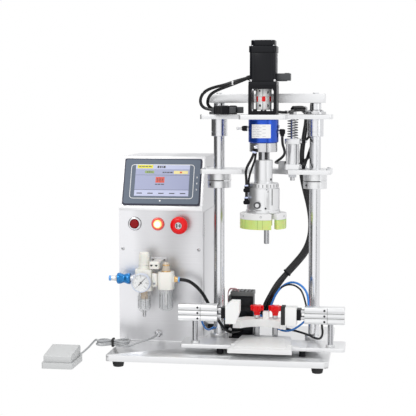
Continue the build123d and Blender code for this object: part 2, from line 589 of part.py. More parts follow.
with BuildPart() as linear_bearings:
    for x, y in column_points:
        turned((x, y, up(bearing_bottom)), (0, 0, 1),
               [(column_bore, 0), (bearing_radius - 1, 0), (bearing_radius, 1),
                (bearing_radius, top_plate_top - up(bearing_bottom)),
                (bearing_flange_radius, top_plate_top - up(bearing_bottom)),
                (bearing_flange_radius, top_plate_top - up(bearing_bottom) + 6),
                (column_bore + 4, top_plate_top - up(bearing_bottom) + 6),
                (column_bore + 4, top_plate_top - up(bearing_bottom) + 9),
                (column_bore, top_plate_top - up(bearing_bottom) + 9)])
        with BuildSketch(Plane((x, y, top_plate_top + 6))) as screw_heads:
            with PolarLocations(bearing_flange_radius - 3.4, 4, start_angle=45):
                Circle(2.6)
        extrude(screw_heads.sketch, amount=2.5)
linear_bearings.part.label = "linear_bearings"
export_step(linear_bearings.part, "parts/linear_bearings.step")

with BuildPart() as head_rods:
    boss(Plane((0, guide_rod_y, up(guide_rod_bottom))), guide_rod_radius,
         top_plate_top + 3 - up(guide_rod_bottom))
    rod_low = up(cylinder_top) - 34
    turned((cylinder_x, cylinder_y, rod_low), (0, 0, 1),
           [(0, 0), (lift_rod_radius, 0), (lift_rod_radius, up(top_plate_bottom) - rod_low),
            (lift_rod_radius - 1, up(top_plate_bottom) - rod_low),
            (lift_rod_radius - 1, top_plate_top - rod_low), (9, top_plate_top - rod_low),
            (9, top_plate_top + 6 - rod_low), (0, top_plate_top + 6 - rod_low)])
head_rods.part.label = "head_rods"
export_step(head_rods.part, "parts/head_rods.step")

housing_wall, housing_floor = 6.0, 8.0
with BuildPart() as coupling_housing:
    block(Plane((0, 0, top_plate_top)), motor_side, motor_side, up(motor_bottom) - top_plate_top)
    block(Plane((0, 0, top_plate_top + housing_floor)), motor_side - 2 * housing_wall, motor_side + 2,
          up(motor_bottom) - top_plate_top - 2 * housing_floor, mode=Mode.SUBTRACT)
    boss(Plane((0, 0, top_plate_top - 1)), coupling_radius + 2, up(motor_bottom) - top_plate_top + 2,
         mode=Mode.SUBTRACT)
    # four screws that hold the lower flange
    for sx in (-1, 1):
        for sy in (-1, 1):
            turned((sx * 20, sy * 25, top_plate_top + housing_floor), (0, 0, 1),
                   [(0, 0), (3.4, 0), (3.4, 4), (1.6, 4), (1.6, 2), (0, 2)])
coupling_housing.part.label = "coupling_housing"
export_step(coupling_housing.part, "parts/coupling_housing.step")

with BuildPart() as servo_motor:
    block(Plane((0, 0, up(motor_bottom))), motor_side, motor_side, 8, corner=2)
    block(Plane((0, 0, up(motor_bottom) + 8)), motor_body, motor_body,
          up(motor_top) - up(motor_bottom) - 8, corner=7)
    block(Plane((0, 0, up(motor_top) - 14)), motor_side - 1, motor_side - 1, 14, corner=8)
    turned((0, 0, up(motor_top)), (0, 0, 1),
           [(0, 0), (24, 0), (24, encoder_top - motor_top - 3), (21, encoder_top - motor_top), (0, encoder_top - motor_top)])
servo_motor.part.label = "servo_motor"
export_step(servo_motor.part, "parts/servo_motor.step")

# The motor's two leads leave its left side, loop back over the plate and end in inline connectors.
plug_wide, plug_tall, plug_length = 16.0, 19.0, 34.0
plug_mid = top_plate_top + plug_tall / 2 + soft_gap
lead_x = -motor_body / 2 - 6
lead_starts = [(lead_x, -6, up(628)), (lead_x, 6, up(628))]
lead_a = [lead_starts[0], (-58, -8, up(622)), (-84, -6, up(613)), (-110, 3, up(608)), (-130, 14, up(600)),
          (-140, 22, up(588)), (-142, 27, up(575)), (-136, 28, up(565)), (-124, 26, plug_mid + 1.5),
          (-110, 24, plug_mid)]
lead_b = [lead_starts[1], (-58, 6, up(618)), (-84, 9, up(609)), (-106, 17, up(601)), (-120, 28, up(593)),
          (-127, 37, up(582)), (-128, 42, up(571)), (-121, 45, up(563)), (-109, 45, plug_mid + 1), (-96, 44, plug_mid)]
with BuildPart() as motor_leads:
    for route, name in ((lead_a, "motor lead a"), (lead_b, "motor lead b")):
        tube(route, motor_cord_radius, name)
    for start in lead_starts:
        turned(start, (1, 0, 0), [(0, -3), (5, -3), (6, 0), (6, 6 - flat_gap), (0, 6 - flat_gap)])
    for end in (lead_a[-1], lead_b[-1]):
        plug = Plane(end, x_dir=(0, 1, 0), z_dir=(1, 0, 0))
        block(plug.offset(-1), plug_wide, plug_tall, plug_length, corner=4)
        block(plug.offset(plug_length - 1), plug_wide - 3, plug_tall - 5, 14, corner=3)
    # the plug on the motor's right side
    block(Plane((motor_body / 2 + flat_gap, 0, up(629)), x_dir=(0, 1, 0), z_dir=(1, 0, 0)), 22, 17, 30, corner=3)
motor_leads.part.label = "motor_leads"
export_step(motor_leads.part, "parts/motor_leads.step")

union_bore = rotor_neck + run_gap
with BuildPart() as rotary_union:
    union_tall = up(top_plate_bottom) - up(union_bottom)
    turned((0, 0, up(union_bottom)), (0, 0, 1),
           [(union_bore, 0), (union_radius - 1.5, 0), (union_radius, 1.5), (union_radius, union_tall - 1.5),
            (union_radius - 1.5, union_tall), (union_bore, union_tall)])
    # the push-in elbows on its left and right sides
    for side, z in ((-1, up(520)), (1, up(513))):
        turned((side * union_radius - side * 1, 0, z), (side, 0, 0),
               [(0, 0), (5, 0), (5, 3), (6, 4), (6, 15), (0, 15)])
    boss(Plane((union_radius + 8, 0, up(513)), z_dir=(0, 0, -1)), 4, 10)
rotary_union.part.label = "rotary_union"
export_step(rotary_union.part, "parts/rotary_union.step")

# ---------------------------------------------------------------- turning spindle
shaft_bore, stub_radius, stub_bottom = shaft_radius + run_gap, 6.0, 541.0
shaft_low = up(sleeve_bottom)
with BuildPart() as spindle_shaft:
    turned((0, 0, shaft_low), (0, 0, 1),
           [(0, 0), (shaft_radius, 0), (shaft_radius, up(stub_bottom) - shaft_low),
            (stub_radius, up(stub_bottom) - shaft_low), (stub_radius, up(577) - shaft_low),
            (0, up(577) - shaft_low)])
    turned((0, 0, shaft_low), (0, 0, 1),
           [(shaft_bore, 0), (sleeve_radius, 0), (sleeve_radius, up(sleeve_top) - shaft_low - 1),
            (sleeve_radius - 1, up(sleeve_top) - shaft_low), (shaft_bore, up(sleeve_top) - shaft_low)])
spindle_shaft.part.label = "spindle_shaft"
export_step(spindle_shaft.part, "parts/spindle_shaft.step")

with BuildPart() as shaft_coupling:
    hub_bore, hub_tall = stub_radius + run_gap, 18.0
    for bottom in (up(coupling_bottom), up(coupling_top) - hub_tall):
        turned((0, 0, bottom), (0, 0, 1),
               [(hub_bore, 0), (coupling_radius, 0), (coupling_radius, hub_tall), (hub_bore, hub_tall)])
        boss(front_plane(9, -coupling_radius, bottom + hub_tall / 2), 2.5, -9, mode=Mode.SUBTRACT)
    turned((0, 0, up(coupling_bottom) + hub_tall + flat_gap), (0, 0, 1),
           [(hub_bore, 0), (coupling_radius - 1, 0),
            (coupling_radius - 1, coupling_top - coupling_bottom - 2 * hub_tall - 2 * flat_gap),
            (hub_bore, coupling_top - coupling_bottom - 2 * hub_tall - 2 * flat_gap)])
    # the motor's own shaft end
    boss(Plane.XY.offset(up(586)), stub_radius, up(motor_bottom) - up(586) - flat_gap)
shaft_coupling.part.label = "shaft_coupling"
export_step(shaft_coupling.part, "parts/shaft_coupling.step")

rotor_fitting = (-12.0, -26.0, up(480))
with BuildPart() as rotor_flange:
    rotor_tall = up(union_bottom) - up(rotor_bottom) - flat_gap
    turned((0, 0, up(rotor_bottom)), (0, 0, 1),
           [(shaft_bore, 0), (rotor_radius - 1, 0), (rotor_radius, 1), (rotor_radius, rotor_tall),
            (rotor_neck, rotor_tall), (rotor_neck, up(537) - up(rotor_bottom)),
            (shaft_bore, up(537) - up(rotor_bottom))])
    turned(rotor_fitting, (-0.42, -0.9, 0), [(0, 0), (5, 0), (5, 5), (4, 8), (2, 9.5), (0, 10)])
    turned((-14, -30, up(480)), (-0.25, -0.05, -0.96), [(0, 0), (4.5, 0), (4.8, 10), (4.2, 12), (0, 12)])
rotor_flange.part.label = "rotor_flange"
export_step(rotor_flange.part, "parts/rotor_flange.step")

ring_bottom = up(sleeve_bottom) - ring_height
slot_width, slot_height, slot_inner = 12.0, 10.0, 4.0
jaw_angles = [first_gap_angle + 360 / jaw_count * (n + 0.5) for n in range(jaw_count)]
gripper_fittings = ((-34.0, -23.0, up(388)), (-34.0, -23.0, up(362)))
with BuildPart() as gripper_body:
    turned((0, 0, up(gripper_bottom)), (0, 0, 1),
           [(0, 0), (gripper_radius + 1.5, 0), (gripper_radius + 1.5, 6), (gripper_radius, 7),
            (gripper_radius, ring_bottom - up(gripper_bottom)), (ring_radius, ring_bottom - up(gripper_bottom)),
            (ring_radius, up(sleeve_bottom) - up(gripper_bottom)), (0, up(sleeve_bottom) - up(gripper_bottom))])
    for angle in jaw_angles:
        slot_plane = Plane((0, 0, up(gripper_bottom) - 1), x_dir=(cos(radians(angle)), sin(radians(angle)), 0))
        block(slot_plane, 50, slot_width, slot_height + 1, points=((slot_inner + 25, 0),), mode=Mode.SUBTRACT)
    for angle in (-72, -52, 30, 150, 200):
        spoke = (cos(radians(angle)), sin(radians(angle)), 0)
        block(Plane((0, 0, up(gripper_bottom) + 14), x_dir=spoke), 3, 2.4, 60,
              points=((gripper_radius, 0),), mode=Mode.SUBTRACT)
    # the knurled screw low on its front and the two hose fittings on its left
    turned((-9, -gripper_radius + 3, up(357)), (0, -1, 0), [(0, 0), (7, 0), (7, 8), (5.5, 9), (0, 9)])
    for x, y, z in gripper_fittings:
        turned((x * 0.78, y * 0.78, z), (x, y, 0), [(0, 0), (4.5, 0), (4.5, 14), (3.5, 15), (0, 15)])
        boss(Plane((x, y, z)), 4.2, 12)
gripper_body.part.label = "gripper_body"
export_step(gripper_body.part, "parts/gripper_body.step")


def jaw_sector(plane, inner, outer, height):
    """A sector of a ring that keeps a gap of even width to the two sectors beside it."""
    half_gap = outer * sin(radians(jaw_gap_angle / 2))
    apex, reach = half_gap / sin(radians(180 / jaw_count)), 3 * outer
    spread = radians(180 / jaw_count)
    with BuildSketch(plane) as sector:
        Circle(outer)
        Circle(inner, mode=Mode.SUBTRACT)
        with BuildLine(mode=Mode.PRIVATE) as wedge:
            Polyline((apex, 0), (apex + reach * cos(spread), reach * sin(spread)),
                     (apex + reach * cos(spread), -reach * sin(spread)), close=True)
        add(make_face(wedge.line.edges(), mode=Mode.PRIVATE), mode=Mode.INTERSECT)
    extrude(sector.sketch, amount=height)


holder_bottom = gripper_bottom - jaw_holder_height
for number, angle in enumerate(jaw_angles, start=1):
    spoke = (cos(radians(angle)), sin(radians(angle)), 0)
    with BuildPart() as gripper_jaw:
        jaw_sector(Plane((0, 0, up(holder_bottom)), x_dir=spoke), 20, jaw_outer, jaw_holder_height - flat_gap)
        block(Plane((0, 0, up(gripper_bottom) - flat_gap), x_dir=spoke), 22, slot_width - 2 * flat_gap,
              slot_height, points=((24, 0),))
        # the soft pad under it, a solid of its own
        jaw_sector(Plane((0, 0, up(holder_bottom - jaw_pad_height) - run_gap), x_dir=spoke), jaw_inner,
                   jaw_outer, jaw_pad_height)
    gripper_jaw.part.label = f"gripper_jaw_{number}"
    export_step(gripper_jaw.part, f"parts/gripper_jaw_{number}.step")

# This hose turns with the spindle, from the rotor's fitting to the gripper's.
rotor_hose = [(-17.1, -30.7, up(467.6)), (-22, -32.5, up(455)), (-31, -31, up(441)), (-35.5, -27, up(427)),
              (-34, -23, up(413)), (-34, -23, up(400.2))]
with BuildPart() as rotor_hoses:
    tube(rotor_hose, hose_radius, "rotor hose")
rotor_hoses.part.label = "rotor_hoses"
export_step(rotor_hoses.part, "parts/rotor_hoses.step")

# ---------------------------------------------------------------- bottle table
with BuildPart() as table_plate:
    block(Plane((0, table_mid_y, up(table_bottom))), table_length, table_depth, table_thickness, corner=6)
    chamfer(table_plate.faces().sort_by(Axis.Z)[-1].outer_wire().edges(), 1.2)
    spacer_points = [(x, y) for x in (-92, 88) for y in (table_front + spacer_inset,
                                                        table_front + table_depth - spacer_inset)]
    boss(Plane.XY.offset(base_top), spacer_radius, up(table_bottom) - base_top, points=spacer_points)
table_plate.part.label = "table_plate"
export_step(table_plate.part, "parts/table_plate.step")


def tray_outline(inset, back_inset):
    """Edges of the tray's face, set in from its rim: wide in front, narrow and arched at the back."""
    front_x, back_x, back_y = tray_front_width / 2 - inset, tray_back_width / 2 - inset, tray_back - back_inset
    with BuildLine(mode=Mode.PRIVATE) as rim:
        Line((-back_x, back_y), (-front_x, tray_front + inset))
        Line((-front_x, tray_front + inset), (front_x, tray_front + inset))
        Line((front_x, tray_front + inset), (back_x, back_y))
        ThreePointArc((back_x, back_y), (0, back_y + 5), (-back_x, back_y))
    return rim.line.edges()


tray_bevel = 3.0
with BuildPart() as bottle_tray:
    with BuildSketch(Plane.XY.offset(up(table_bottom))):
        make_face(tray_outline(0, 0))
    extrude(amount=tray_top - table_bottom)
    chamfer(bottle_tray.faces().sort_by(Axis.Z)[-1].outer_wire().edges(), length=1.2, length2=tray_bevel)
    with BuildSketch(Plane.XY.offset(up(tray_top))):
        make_face(tray_outline(13, 27))
    extrude(amount=pad_rise)
    # the channel that seats it over the table plate
    block(Plane((0, table_mid_y, up(table_bottom) - 1)), table_length, table_depth + 2 * flat_gap,
          table_top - up(table_bottom) + 1, mode=Mode.SUBTRACT)
bottle_tray.part.label = "bottle_tray"
export_step(bottle_tray.part, "parts/bottle_tray.step")

stud_small, post_radius = 3.0, 6.5
with BuildPart() as table_posts:
    for x in locator_posts_x:
        turned((x, locator_y, up(tray_top)), (0, 0, 1),
               [(0, 0), (post_radius, 0), (post_radius, locator_bottom - tray_top - flat_gap),
                (stud_small, locator_bottom - tray_top - flat_gap), (stud_small, 112 - tray_top),
                (0, 112 - tray_top)])
    for x in (-clamp_post_x, clamp_post_x):
        turned((x, clamp_post_y, table_top), (0, 0, 1),
               [(0, 0), (clamp_post_radius, 0), (clamp_post_radius, up(clamp_bottom) - table_top),
                (0, up(clamp_bottom) - table_top)])
table_posts.part.label = "table_posts"
export_step(table_posts.part, "parts/table_posts.step")

slot_clear = stud_small + soft_gap
with BuildPart() as locator_plate:
    with BuildSketch(Plane.XY.offset(up(locator_bottom))) as locator_shape:
        with BuildLine():
            Polyline((locator_right, 34), (locator_right, 78), (40, 88), (-46, 88), (locator_left, 66),
                     (locator_left, 34), (-52, 34))
            ThreePointArc((-52, 34), (-4, 58), (36, 34))
            Line((36, 34), (locator_right, 34))
        make_face()
        with Locations(*[(x, locator_y) for x in locator_posts_x]):
            SlotCenterToCenter(locator_travel, 2 * slot_clear, rotation=90, mode=Mode.SUBTRACT)
    extrude(amount=locator_thickness)
    block(Plane((0.5, locator_y, locator_top)), 14, 16, 16, corner=2)
locator_plate.part.label = "locator_plate"
export_step(locator_plate.part, "parts/locator_plate.step")

star_neck, star_lobes = 6.5, 6
for name, x in zip(("left", "right"), locator_posts_x):
    with BuildPart() as star_knob:
        neck_top = up(star_top) - locator_top - 13
        turned((x, locator_y, locator_top + flat_gap), (0, 0, 1),
               [(0, 0), (star_neck, 0), (star_neck + 1, neck_top), (0, neck_top)])
        with BuildSketch(Plane((x, locator_y, locator_top + neck_top + flat_gap))):
            Circle(star_radius - 3)
            with PolarLocations(star_radius - 5, star_lobes):
                Circle(5)
        extrude(amount=13 - flat_gap)
        fillet(star_knob.faces().sort_by(Axis.Z)[-1].edges(), 2)
        boss(Plane((x, locator_y, locator_top)), stud_small + run_gap, up(112) - locator_top + 1,
             mode=Mode.SUBTRACT)
    star_knob.part.label = f"star_knob_{name}"
    export_step(star_knob.part, f"parts/star_knob_{name}.step")

rod_offsets = (-clamp_rod_pitch / 2, clamp_rod_pitch / 2)
rod_depth = 55.0
with BuildPart() as clamp_cylinders:
    for left, mouth, inward in ((left_clamp_x, left_clamp_x + clamp_length, 1), (right_clamp_x, right_clamp_x, -1)):
        with BuildSketch(Plane.YZ.offset(left)) as section:
            with Locations((0, clamp_mid)):
                RectangleRounded(clamp_deep, clamp_tall, 5)
            with Locations((-clamp_deep / 2, clamp_mid), (clamp_deep / 2, clamp_mid)):
                Rectangle(2.4, 6, mode=Mode.SUBTRACT)
        extrude(section.sketch, amount=clamp_length)
        for offset in rod_offsets:
            boss(facing(mouth + inward, 0, clamp_mid + offset, (-inward, 0, 0)), clamp_rod_radius + run_gap,
                 rod_depth + 1, mode=Mode.SUBTRACT)
clamp_cylinders.part.label = "clamp_cylinders"
export_step(clamp_cylinders.part, "parts/clamp_cylinders.step")

carrier_gap, carrier_wide, rod_inside = 8.0, 9.0, rod_depth - 4
left_jaw_face, right_jaw_face = -50.0, 50.0
with BuildPart() as left_clamp_jaw:
    mouth = left_clamp_x + clamp_length
    for offset in rod_offsets:
        boss(facing(mouth - rod_inside, 0, clamp_mid + offset, (1, 0, 0)), clamp_rod_radius,
             rod_inside + carrier_gap)
    block(facing(mouth + carrier_gap, 0, clamp_mid, (1, 0, 0)), clamp_deep - 2, 30, carrier_wide)
    jaw_start = mouth + carrier_gap + carrier_wide
    with BuildSketch(Plane.XZ.offset(15)) as jaw_side:
        with BuildLine():
            Polyline((jaw_start + soft_gap, up(94.5)), (jaw_start + soft_gap, up(134)), (jaw_start + 12, up(144)),
                     (left_jaw_face, up(144)), (left_jaw_face, up(120)), (left_jaw_face - 8, up(94.5)), close=True)
        make_face()
    extrude(jaw_side.sketch, amount=-30)
left_clamp_jaw.part.label = "left_clamp_jaw"
export_step(left_clamp_jaw.part, "parts/left_clamp_jaw.step")

pad_thick = 9.0
with BuildPart() as right_clamp_jaw:
    for offset in rod_offsets:
        boss(facing(right_clamp_x + rod_inside, 0, clamp_mid + offset, (-1, 0, 0)), clamp_rod_radius,
             rod_inside + carrier_gap)
    block(facing(right_clamp_x - carrier_gap, 0, clamp_mid, (-1, 0, 0)), clamp_deep - 2, 30, carrier_wide)
    jaw_end = right_clamp_x - carrier_gap - carrier_wide - soft_gap
    block(Plane(((jaw_end + right_jaw_face) / 2, 0, up(94.5))), jaw_end - right_jaw_face, 30, 39)
    block(Plane((right_jaw_face - pad_thick / 2 - soft_gap, 0, up(95))), pad_thick, 28, 40)
right_clamp_jaw.part.label = "right_clamp_jaw"
export_step(right_clamp_jaw.part, "parts/right_clamp_jaw.step")

valve_x, valve_y, valve_wide, valve_deep, valve_top = -59.0, 132.0, 51.0, 40.0, 145.0
with BuildPart() as solenoid_valve:
    block(Plane((valve_x, valve_y, base_top)), valve_wide + 10, valve_deep + 6, 16, corner=2)
    block(Plane((valve_x, valve_y, base_top + 16)), valve_wide, valve_deep, up(valve_top) - base_top - 26)
    block(Plane((valve_x, valve_y, up(valve_top) - 10)), valve_wide + 2, valve_deep + 2, 10)
    block(Plane((valve_x, valve_y, up(valve_top) - 4)), 6, 12, 5,
          points=[(x, y) for x in (-16, 0, 16) for y in (-9, 9)], mode=Mode.SUBTRACT)
solenoid_valve.part.label = "solenoid_valve"
export_step(solenoid_valve.part, "parts/solenoid_valve.step")

# ---------------------------------------------------------------- hoses and the cable bundle
# Held all the way: the bundle runs from the mid plate down behind the right column and into the box.
bundle_low = [(74, 142, up(440)), (76, 139, up(412)), (84, 134, up(378)), (94, 130, up(342)), (99, 129, up(306)),
              (97, 128, up(272)), (86, 126, up(241)), (65, 123, up(214)), (43, 119, up(190)), (24, 117, up(166)),
              (9, 119, up(142)), (-3, 126, up(118)), (-11, 138, up(94)), (-17, 152, up(73)), (-28, 168, up(59)),
              (-48, 179, up(52)), (-71, 181, up(50.5)), (-94, 178, up(51)), (-114, 173, up(50.5)),
              (-132, bundle_exit[1], bundle_exit[2]), (box_right - 6, bundle_exit[1], bundle_exit[2])]
outlet_hose = [(lube_port + outlet_length + 0.2, air_y, air_z), (-176, 47, air_z), (-158, 52, up(168)),
               (-143, 62, up(149)), (-134, 77, up(127)), (-128, 95, up(104)), (-118, 112, up(83)),
               (-103, 120, up(72)), (-84.7, 120, up(72))]
clamp_hose = [(-33.3, 128, up(82)), (-18, 128, up(82)), (-2, 117, up(93)), (9, 104, up(117)), (20, 92, up(146)),
              (38, 78, up(168)), (58, 54, up(180)), (78, 28, up(180)), (94, 9, up(168)), (99.5, 1, up(151)),
              (99.5, 1, up(clamp_bottom + clamp_tall) + 0.2)]
elbow_y = cylinder_y - 4 + 9.2
cylinder_hose = [(elbow_x, elbow_y, up(491)), (elbow_x, elbow_y + 14, up(491)), (81, 89, up(482)), (79, 108, up(470)),
                 (77, 121, up(458)), (76, 127.5, up(447))]
cylinder_hose_low = [(elbow_x, elbow_y, mid_top + cap_tall / 2), (elbow_x, elbow_y + 14, mid_top + cap_tall / 2),
                     (80, 92, up(439)), (68, 109, up(442)), (60, 124, up(442))]
with BuildPart() as cable_bundle:
    tube(bundle_low, bundle_radius, "cable bundle")
    tube(outlet_hose, hose_radius + 1, "outlet hose")
    tube(clamp_hose, hose_radius, "clamp hose")
    tube(cylinder_hose, hose_radius, "upper cylinder hose")
    tube(cylinder_hose_low, hose_radius, "lower cylinder hose")
cable_bundle.part.label = "cable_bundle"
export_step(cable_bundle.part, "parts/cable_bundle.step")

# These two cross from the moving head to the fixed frame.
bundle_high = [(56, 92, up(561.5)), (68, 110, up(562.5)), (78, 127, up(562)), (83, 142, up(551)),
               (83, 149, up(532)), (79, 149, up(508)), (75, 146.5, up(480)), (72.9, 143.7, up(456)),
               (74, 142, up(440.4))]
union_hose = [(union_radius + 8, 0, up(502.8)), (union_radius + 8, 0, up(487)), (44, 13, up(475)),
              (44, 28, up(464)), (35, 41, up(454)), (24, 54, up(447)), (19, 71, up(443)), (25, 91, up(441)),
              (38, 109, up(442)), (50, 125, up(442)), (64.6, 137, up(441.5))]
with BuildPart() as head_hoses:
    tube(bundle_high, bundle_radius - 2, "upper bundle")
    tube(union_hose, hose_radius, "union hose")
head_hoses.part.label = "head_hoses"
export_step(head_hoses.part, "parts/head_hoses.step")

# ---------------------------------------------------------------- foot pedal
pedal_mid_x, pedal_mid_y = pedal_left + pedal_width / 2, pedal_front + pedal_depth / 2
pedal_right, pedal_back = pedal_left + pedal_width, pedal_front + pedal_depth
rim_height, pin_radius = 13.0, 2.5
pin_y, pin_height = pedal_back - 10, 12.0
treadle_side_gap, treadle_end_gap = 0.8, 1.6
with BuildPart() as pedal_base:
    block(Plane((pedal_mid_x, pedal_mid_y, up(0))), pedal_width, pedal_depth, rim_height, corner=5)
    for x in (pedal_left + pedal_wall / 2, pedal_right - pedal_wall / 2):
        block(Plane((x, pin_y, up(rim_height) - 1)), pedal_wall, 12, 6)
    block(Plane((pedal_mid_x, pedal_mid_y, up(pedal_wall))), pedal_width - 2 * pedal_wall,
          pedal_depth - 2 * pedal_wall, rim_height, corner=3, mode=Mode.SUBTRACT)
    boss(facing(pedal_left + 1, pin_y, up(pin_height), (1, 0, 0)), pin_radius, pedal_width - 2)
pedal_base.part.label = "pedal_base"
export_step(pedal_base.part, "parts/pedal_base.step")

treadle_left, treadle_wide = pedal_left + pedal_wall + treadle_side_gap, pedal_width - 2 * (pedal_wall + treadle_side_gap)
treadle_front, treadle_back = pedal_front + pedal_wall + treadle_end_gap, pedal_back - pedal_wall - treadle_end_gap


def treadle_profile(inset, low):
    """Side outline of the treadle on the current sketch, low at the toe and high at the heel."""
    return [(treadle_front + inset, low), (treadle_front + inset, up(pedal_front_height) - inset),
            (treadle_front + 8 + inset, up(pedal_front_height + 3) - inset),
            (treadle_back - 8 - inset, up(pedal_back_height) - inset),
            (treadle_back - inset, up(pedal_back_height - 5) - inset), (treadle_back - inset, low)]


with BuildPart() as pedal_treadle:
    with BuildSketch(Plane.YZ.offset(treadle_left)) as treadle_side:
        with BuildLine():
            Polyline(*treadle_profile(0, up(11.5)), close=True)
        make_face()
    extrude(treadle_side.sketch, amount=treadle_wide)
    with BuildSketch(Plane.YZ.offset(treadle_left + pedal_wall)) as treadle_space:
        with BuildLine():
            Polyline(*treadle_profile(pedal_wall, up(11.5) - 1), close=True)
        make_face()
    extrude(treadle_space.sketch, amount=treadle_wide - 2 * pedal_wall, mode=Mode.SUBTRACT)
    for x in (treadle_left + pedal_wall / 2, treadle_left + treadle_wide - pedal_wall / 2):
        boss(facing(x - pedal_wall / 2, pin_y, up(pin_height), (1, 0, 0)), 5.5, pedal_wall)
    boss(facing(pedal_left - 1, pin_y, up(pin_height), (1, 0, 0)), pin_radius + run_gap, pedal_width + 2,
         mode=Mode.SUBTRACT)
pedal_treadle.part.label = "pedal_treadle"
export_step(pedal_treadle.part, "parts/pedal_treadle.step")

# The pedal's cord: up from the pedal to a tied hank on the base, then on to the gland.
hank_x, hank_y, hank_long, hank_wide, hank_tall = -338.0, 14.0, 80.0, 46.0, 22.0
hank_bottom = base_top + soft_gap
hank_mid = hank_bottom + hank_tall / 2
cord_to_hank = [(pedal_right - 12, pedal_back + 0.2, up(9)), (pedal_right - 12, 12, up(9)), (-410, 27, up(13)),
                (-399, 32, up(23)), (-389, 27, up(33)), (-380.3, 18, up(39))]
cord_to_gland = [(hank_x + hank_long / 2 + 0.6, hank_y, hank_mid), (-283, 14.5, up(41)), (-270, 24, up(43)),
                 (-258, 40, up(45)), (-250, 58, up(47.5)), (gland_x, box_front - gland_length - 0.3, up(gland_height))]
with BuildPart() as pedal_cable:
    tube(cord_to_hank, pedal_cord_radius, "cord from the pedal")
    tube(cord_to_gland, pedal_cord_radius, "cord to the gland")
pedal_cable.part.label = "pedal_cable"
export_step(pedal_cable.part, "parts/pedal_cable.step")

with BuildPart() as cable_hank:
    with BuildSketch(Plane((hank_x, hank_y, hank_bottom))):
        with BuildLine():
            Spline((hank_long / 2, 0), (hank_long / 3, hank_wide / 2), (0, hank_wide / 5),
                   (-hank_long / 3, hank_wide / 2), (-hank_long / 2, 0), (-hank_long / 3, -hank_wide / 2),
                   (0, -hank_wide / 5), (hank_long / 3, -hank_wide / 2), periodic=True)
        make_face()
    extrude(amount=hank_tall)
cable_hank.part.label = "cable_hank"
export_step(cable_hank.part, "parts/cable_hank.step")
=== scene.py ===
"""Looks of the desktop capping machine: finishes, and a detailed piece for each part that shows.

Places are given as at(x, y, height) in millimetres, with heights over the floor.
"""
from math import cos, pi, radians, sin

import bmesh
import bpy
from mathutils import Matrix, Vector


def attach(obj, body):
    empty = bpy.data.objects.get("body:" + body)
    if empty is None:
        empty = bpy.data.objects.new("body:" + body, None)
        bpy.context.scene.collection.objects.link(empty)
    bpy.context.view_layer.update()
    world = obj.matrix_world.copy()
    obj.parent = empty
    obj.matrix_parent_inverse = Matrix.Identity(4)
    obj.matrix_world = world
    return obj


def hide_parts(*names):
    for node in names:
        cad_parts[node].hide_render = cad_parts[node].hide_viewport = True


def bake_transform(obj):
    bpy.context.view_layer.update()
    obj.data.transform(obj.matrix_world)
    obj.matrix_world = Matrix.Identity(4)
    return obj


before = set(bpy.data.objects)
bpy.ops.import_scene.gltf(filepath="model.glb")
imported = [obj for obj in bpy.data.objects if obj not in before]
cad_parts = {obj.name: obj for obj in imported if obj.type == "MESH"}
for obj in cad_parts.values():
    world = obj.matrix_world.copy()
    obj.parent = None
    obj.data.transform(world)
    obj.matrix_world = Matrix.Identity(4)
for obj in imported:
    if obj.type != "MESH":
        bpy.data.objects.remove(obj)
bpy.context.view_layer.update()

SEAT_HEIGHT = 54.0  # the frame's origin is this far over the floor
RIGHT, BACK, UP = Vector((1, 0, 0)), Vector((0, 1, 0)), Vector((0, 0, 1))
LEFT, FRONT, DOWN = -RIGHT, -BACK, -UP
CORNERS = ((-1, -1), (-1, 1), (1, -1), (1, 1))
WELD = 0.000002  # metres within which vertices are one
SHARP_ANGLE, FLAT_ANGLE = 30, 1.0  # degrees: edges over it are eased, faces under it are one


def at(x, y, height):
    """A point in the frame's metres from millimetres, its height over the floor."""
    return Vector((x, y, height - SEAT_HEIGHT)) / 1000


def round_about(direction, angle):
    """A turn in degrees about a direction."""
    return Matrix.Rotation(radians(angle), 4, direction)


def swung(first, second, angle):
    """The direction reached by turning from the first towards the second, in degrees."""
    return first * cos(radians(angle)) + second * sin(radians(angle))


def spots(points):
    """Places in the frame from points in millimetres."""
    return [at(*point) for point in points]


# ---------------------------------------------------------------- finishes
class Value:
    """A socket's number. + - * on it add Math nodes."""

    def __init__(self, shading, socket):
        self.shading, self.socket = shading, socket

    def maths(self, operation, first, second=0.0):
        return self.shading.node("ShaderNodeMath", {"operation": operation}, {0: first, 1: second})

    def __add__(self, other):
        return self.maths("ADD", self, other)

    def __sub__(self, other):
        return self.maths("SUBTRACT", self, other)

    def __rsub__(self, other):
        return self.maths("SUBTRACT", other, self)

    def __mul__(self, other):
        return self.maths("MULTIPLY", self, other)

    __radd__, __rmul__ = __add__, __mul__


class Shading:
    """A node tree. Sockets take a plain number, a colour or a Value."""

    def __init__(self, tree):
        self.tree = tree

    def mixed(self, share, first, second):
        """Two colours mixed; the numbers are the colour sockets of the Mix node."""
        return self.node("ShaderNodeMix", {"data_type": "RGBA"}, {0: share, 6: first, 7: second},
                         output=2)

    def put(self, socket, value):
        if isinstance(value, Value):
            self.tree.links.new(value.socket, socket)
        elif isinstance(value, tuple) and len(value) == 3 and socket.type == "RGBA":
            socket.default_value = (*value, 1)
        else:
            socket.default_value = value

    def node(self, kind, settings=(), values=(), output=0):
        made = self.tree.nodes.new(kind)
        for name, value in dict(settings).items():
            if name == "stops":
                ramp = made.color_ramp
                while len(ramp.elements) < len(value):
                    ramp.elements.new(0.5)
                for stop, (place, colour) in zip(ramp.elements, value):
                    stop.position, stop.color = place, (*colour, 1)
            else:
                setattr(made, name, value)
        for name, value in dict(values).items():
            self.put(made.inputs[name], value)
        return Value(self, made.outputs[output]) if made.outputs else None


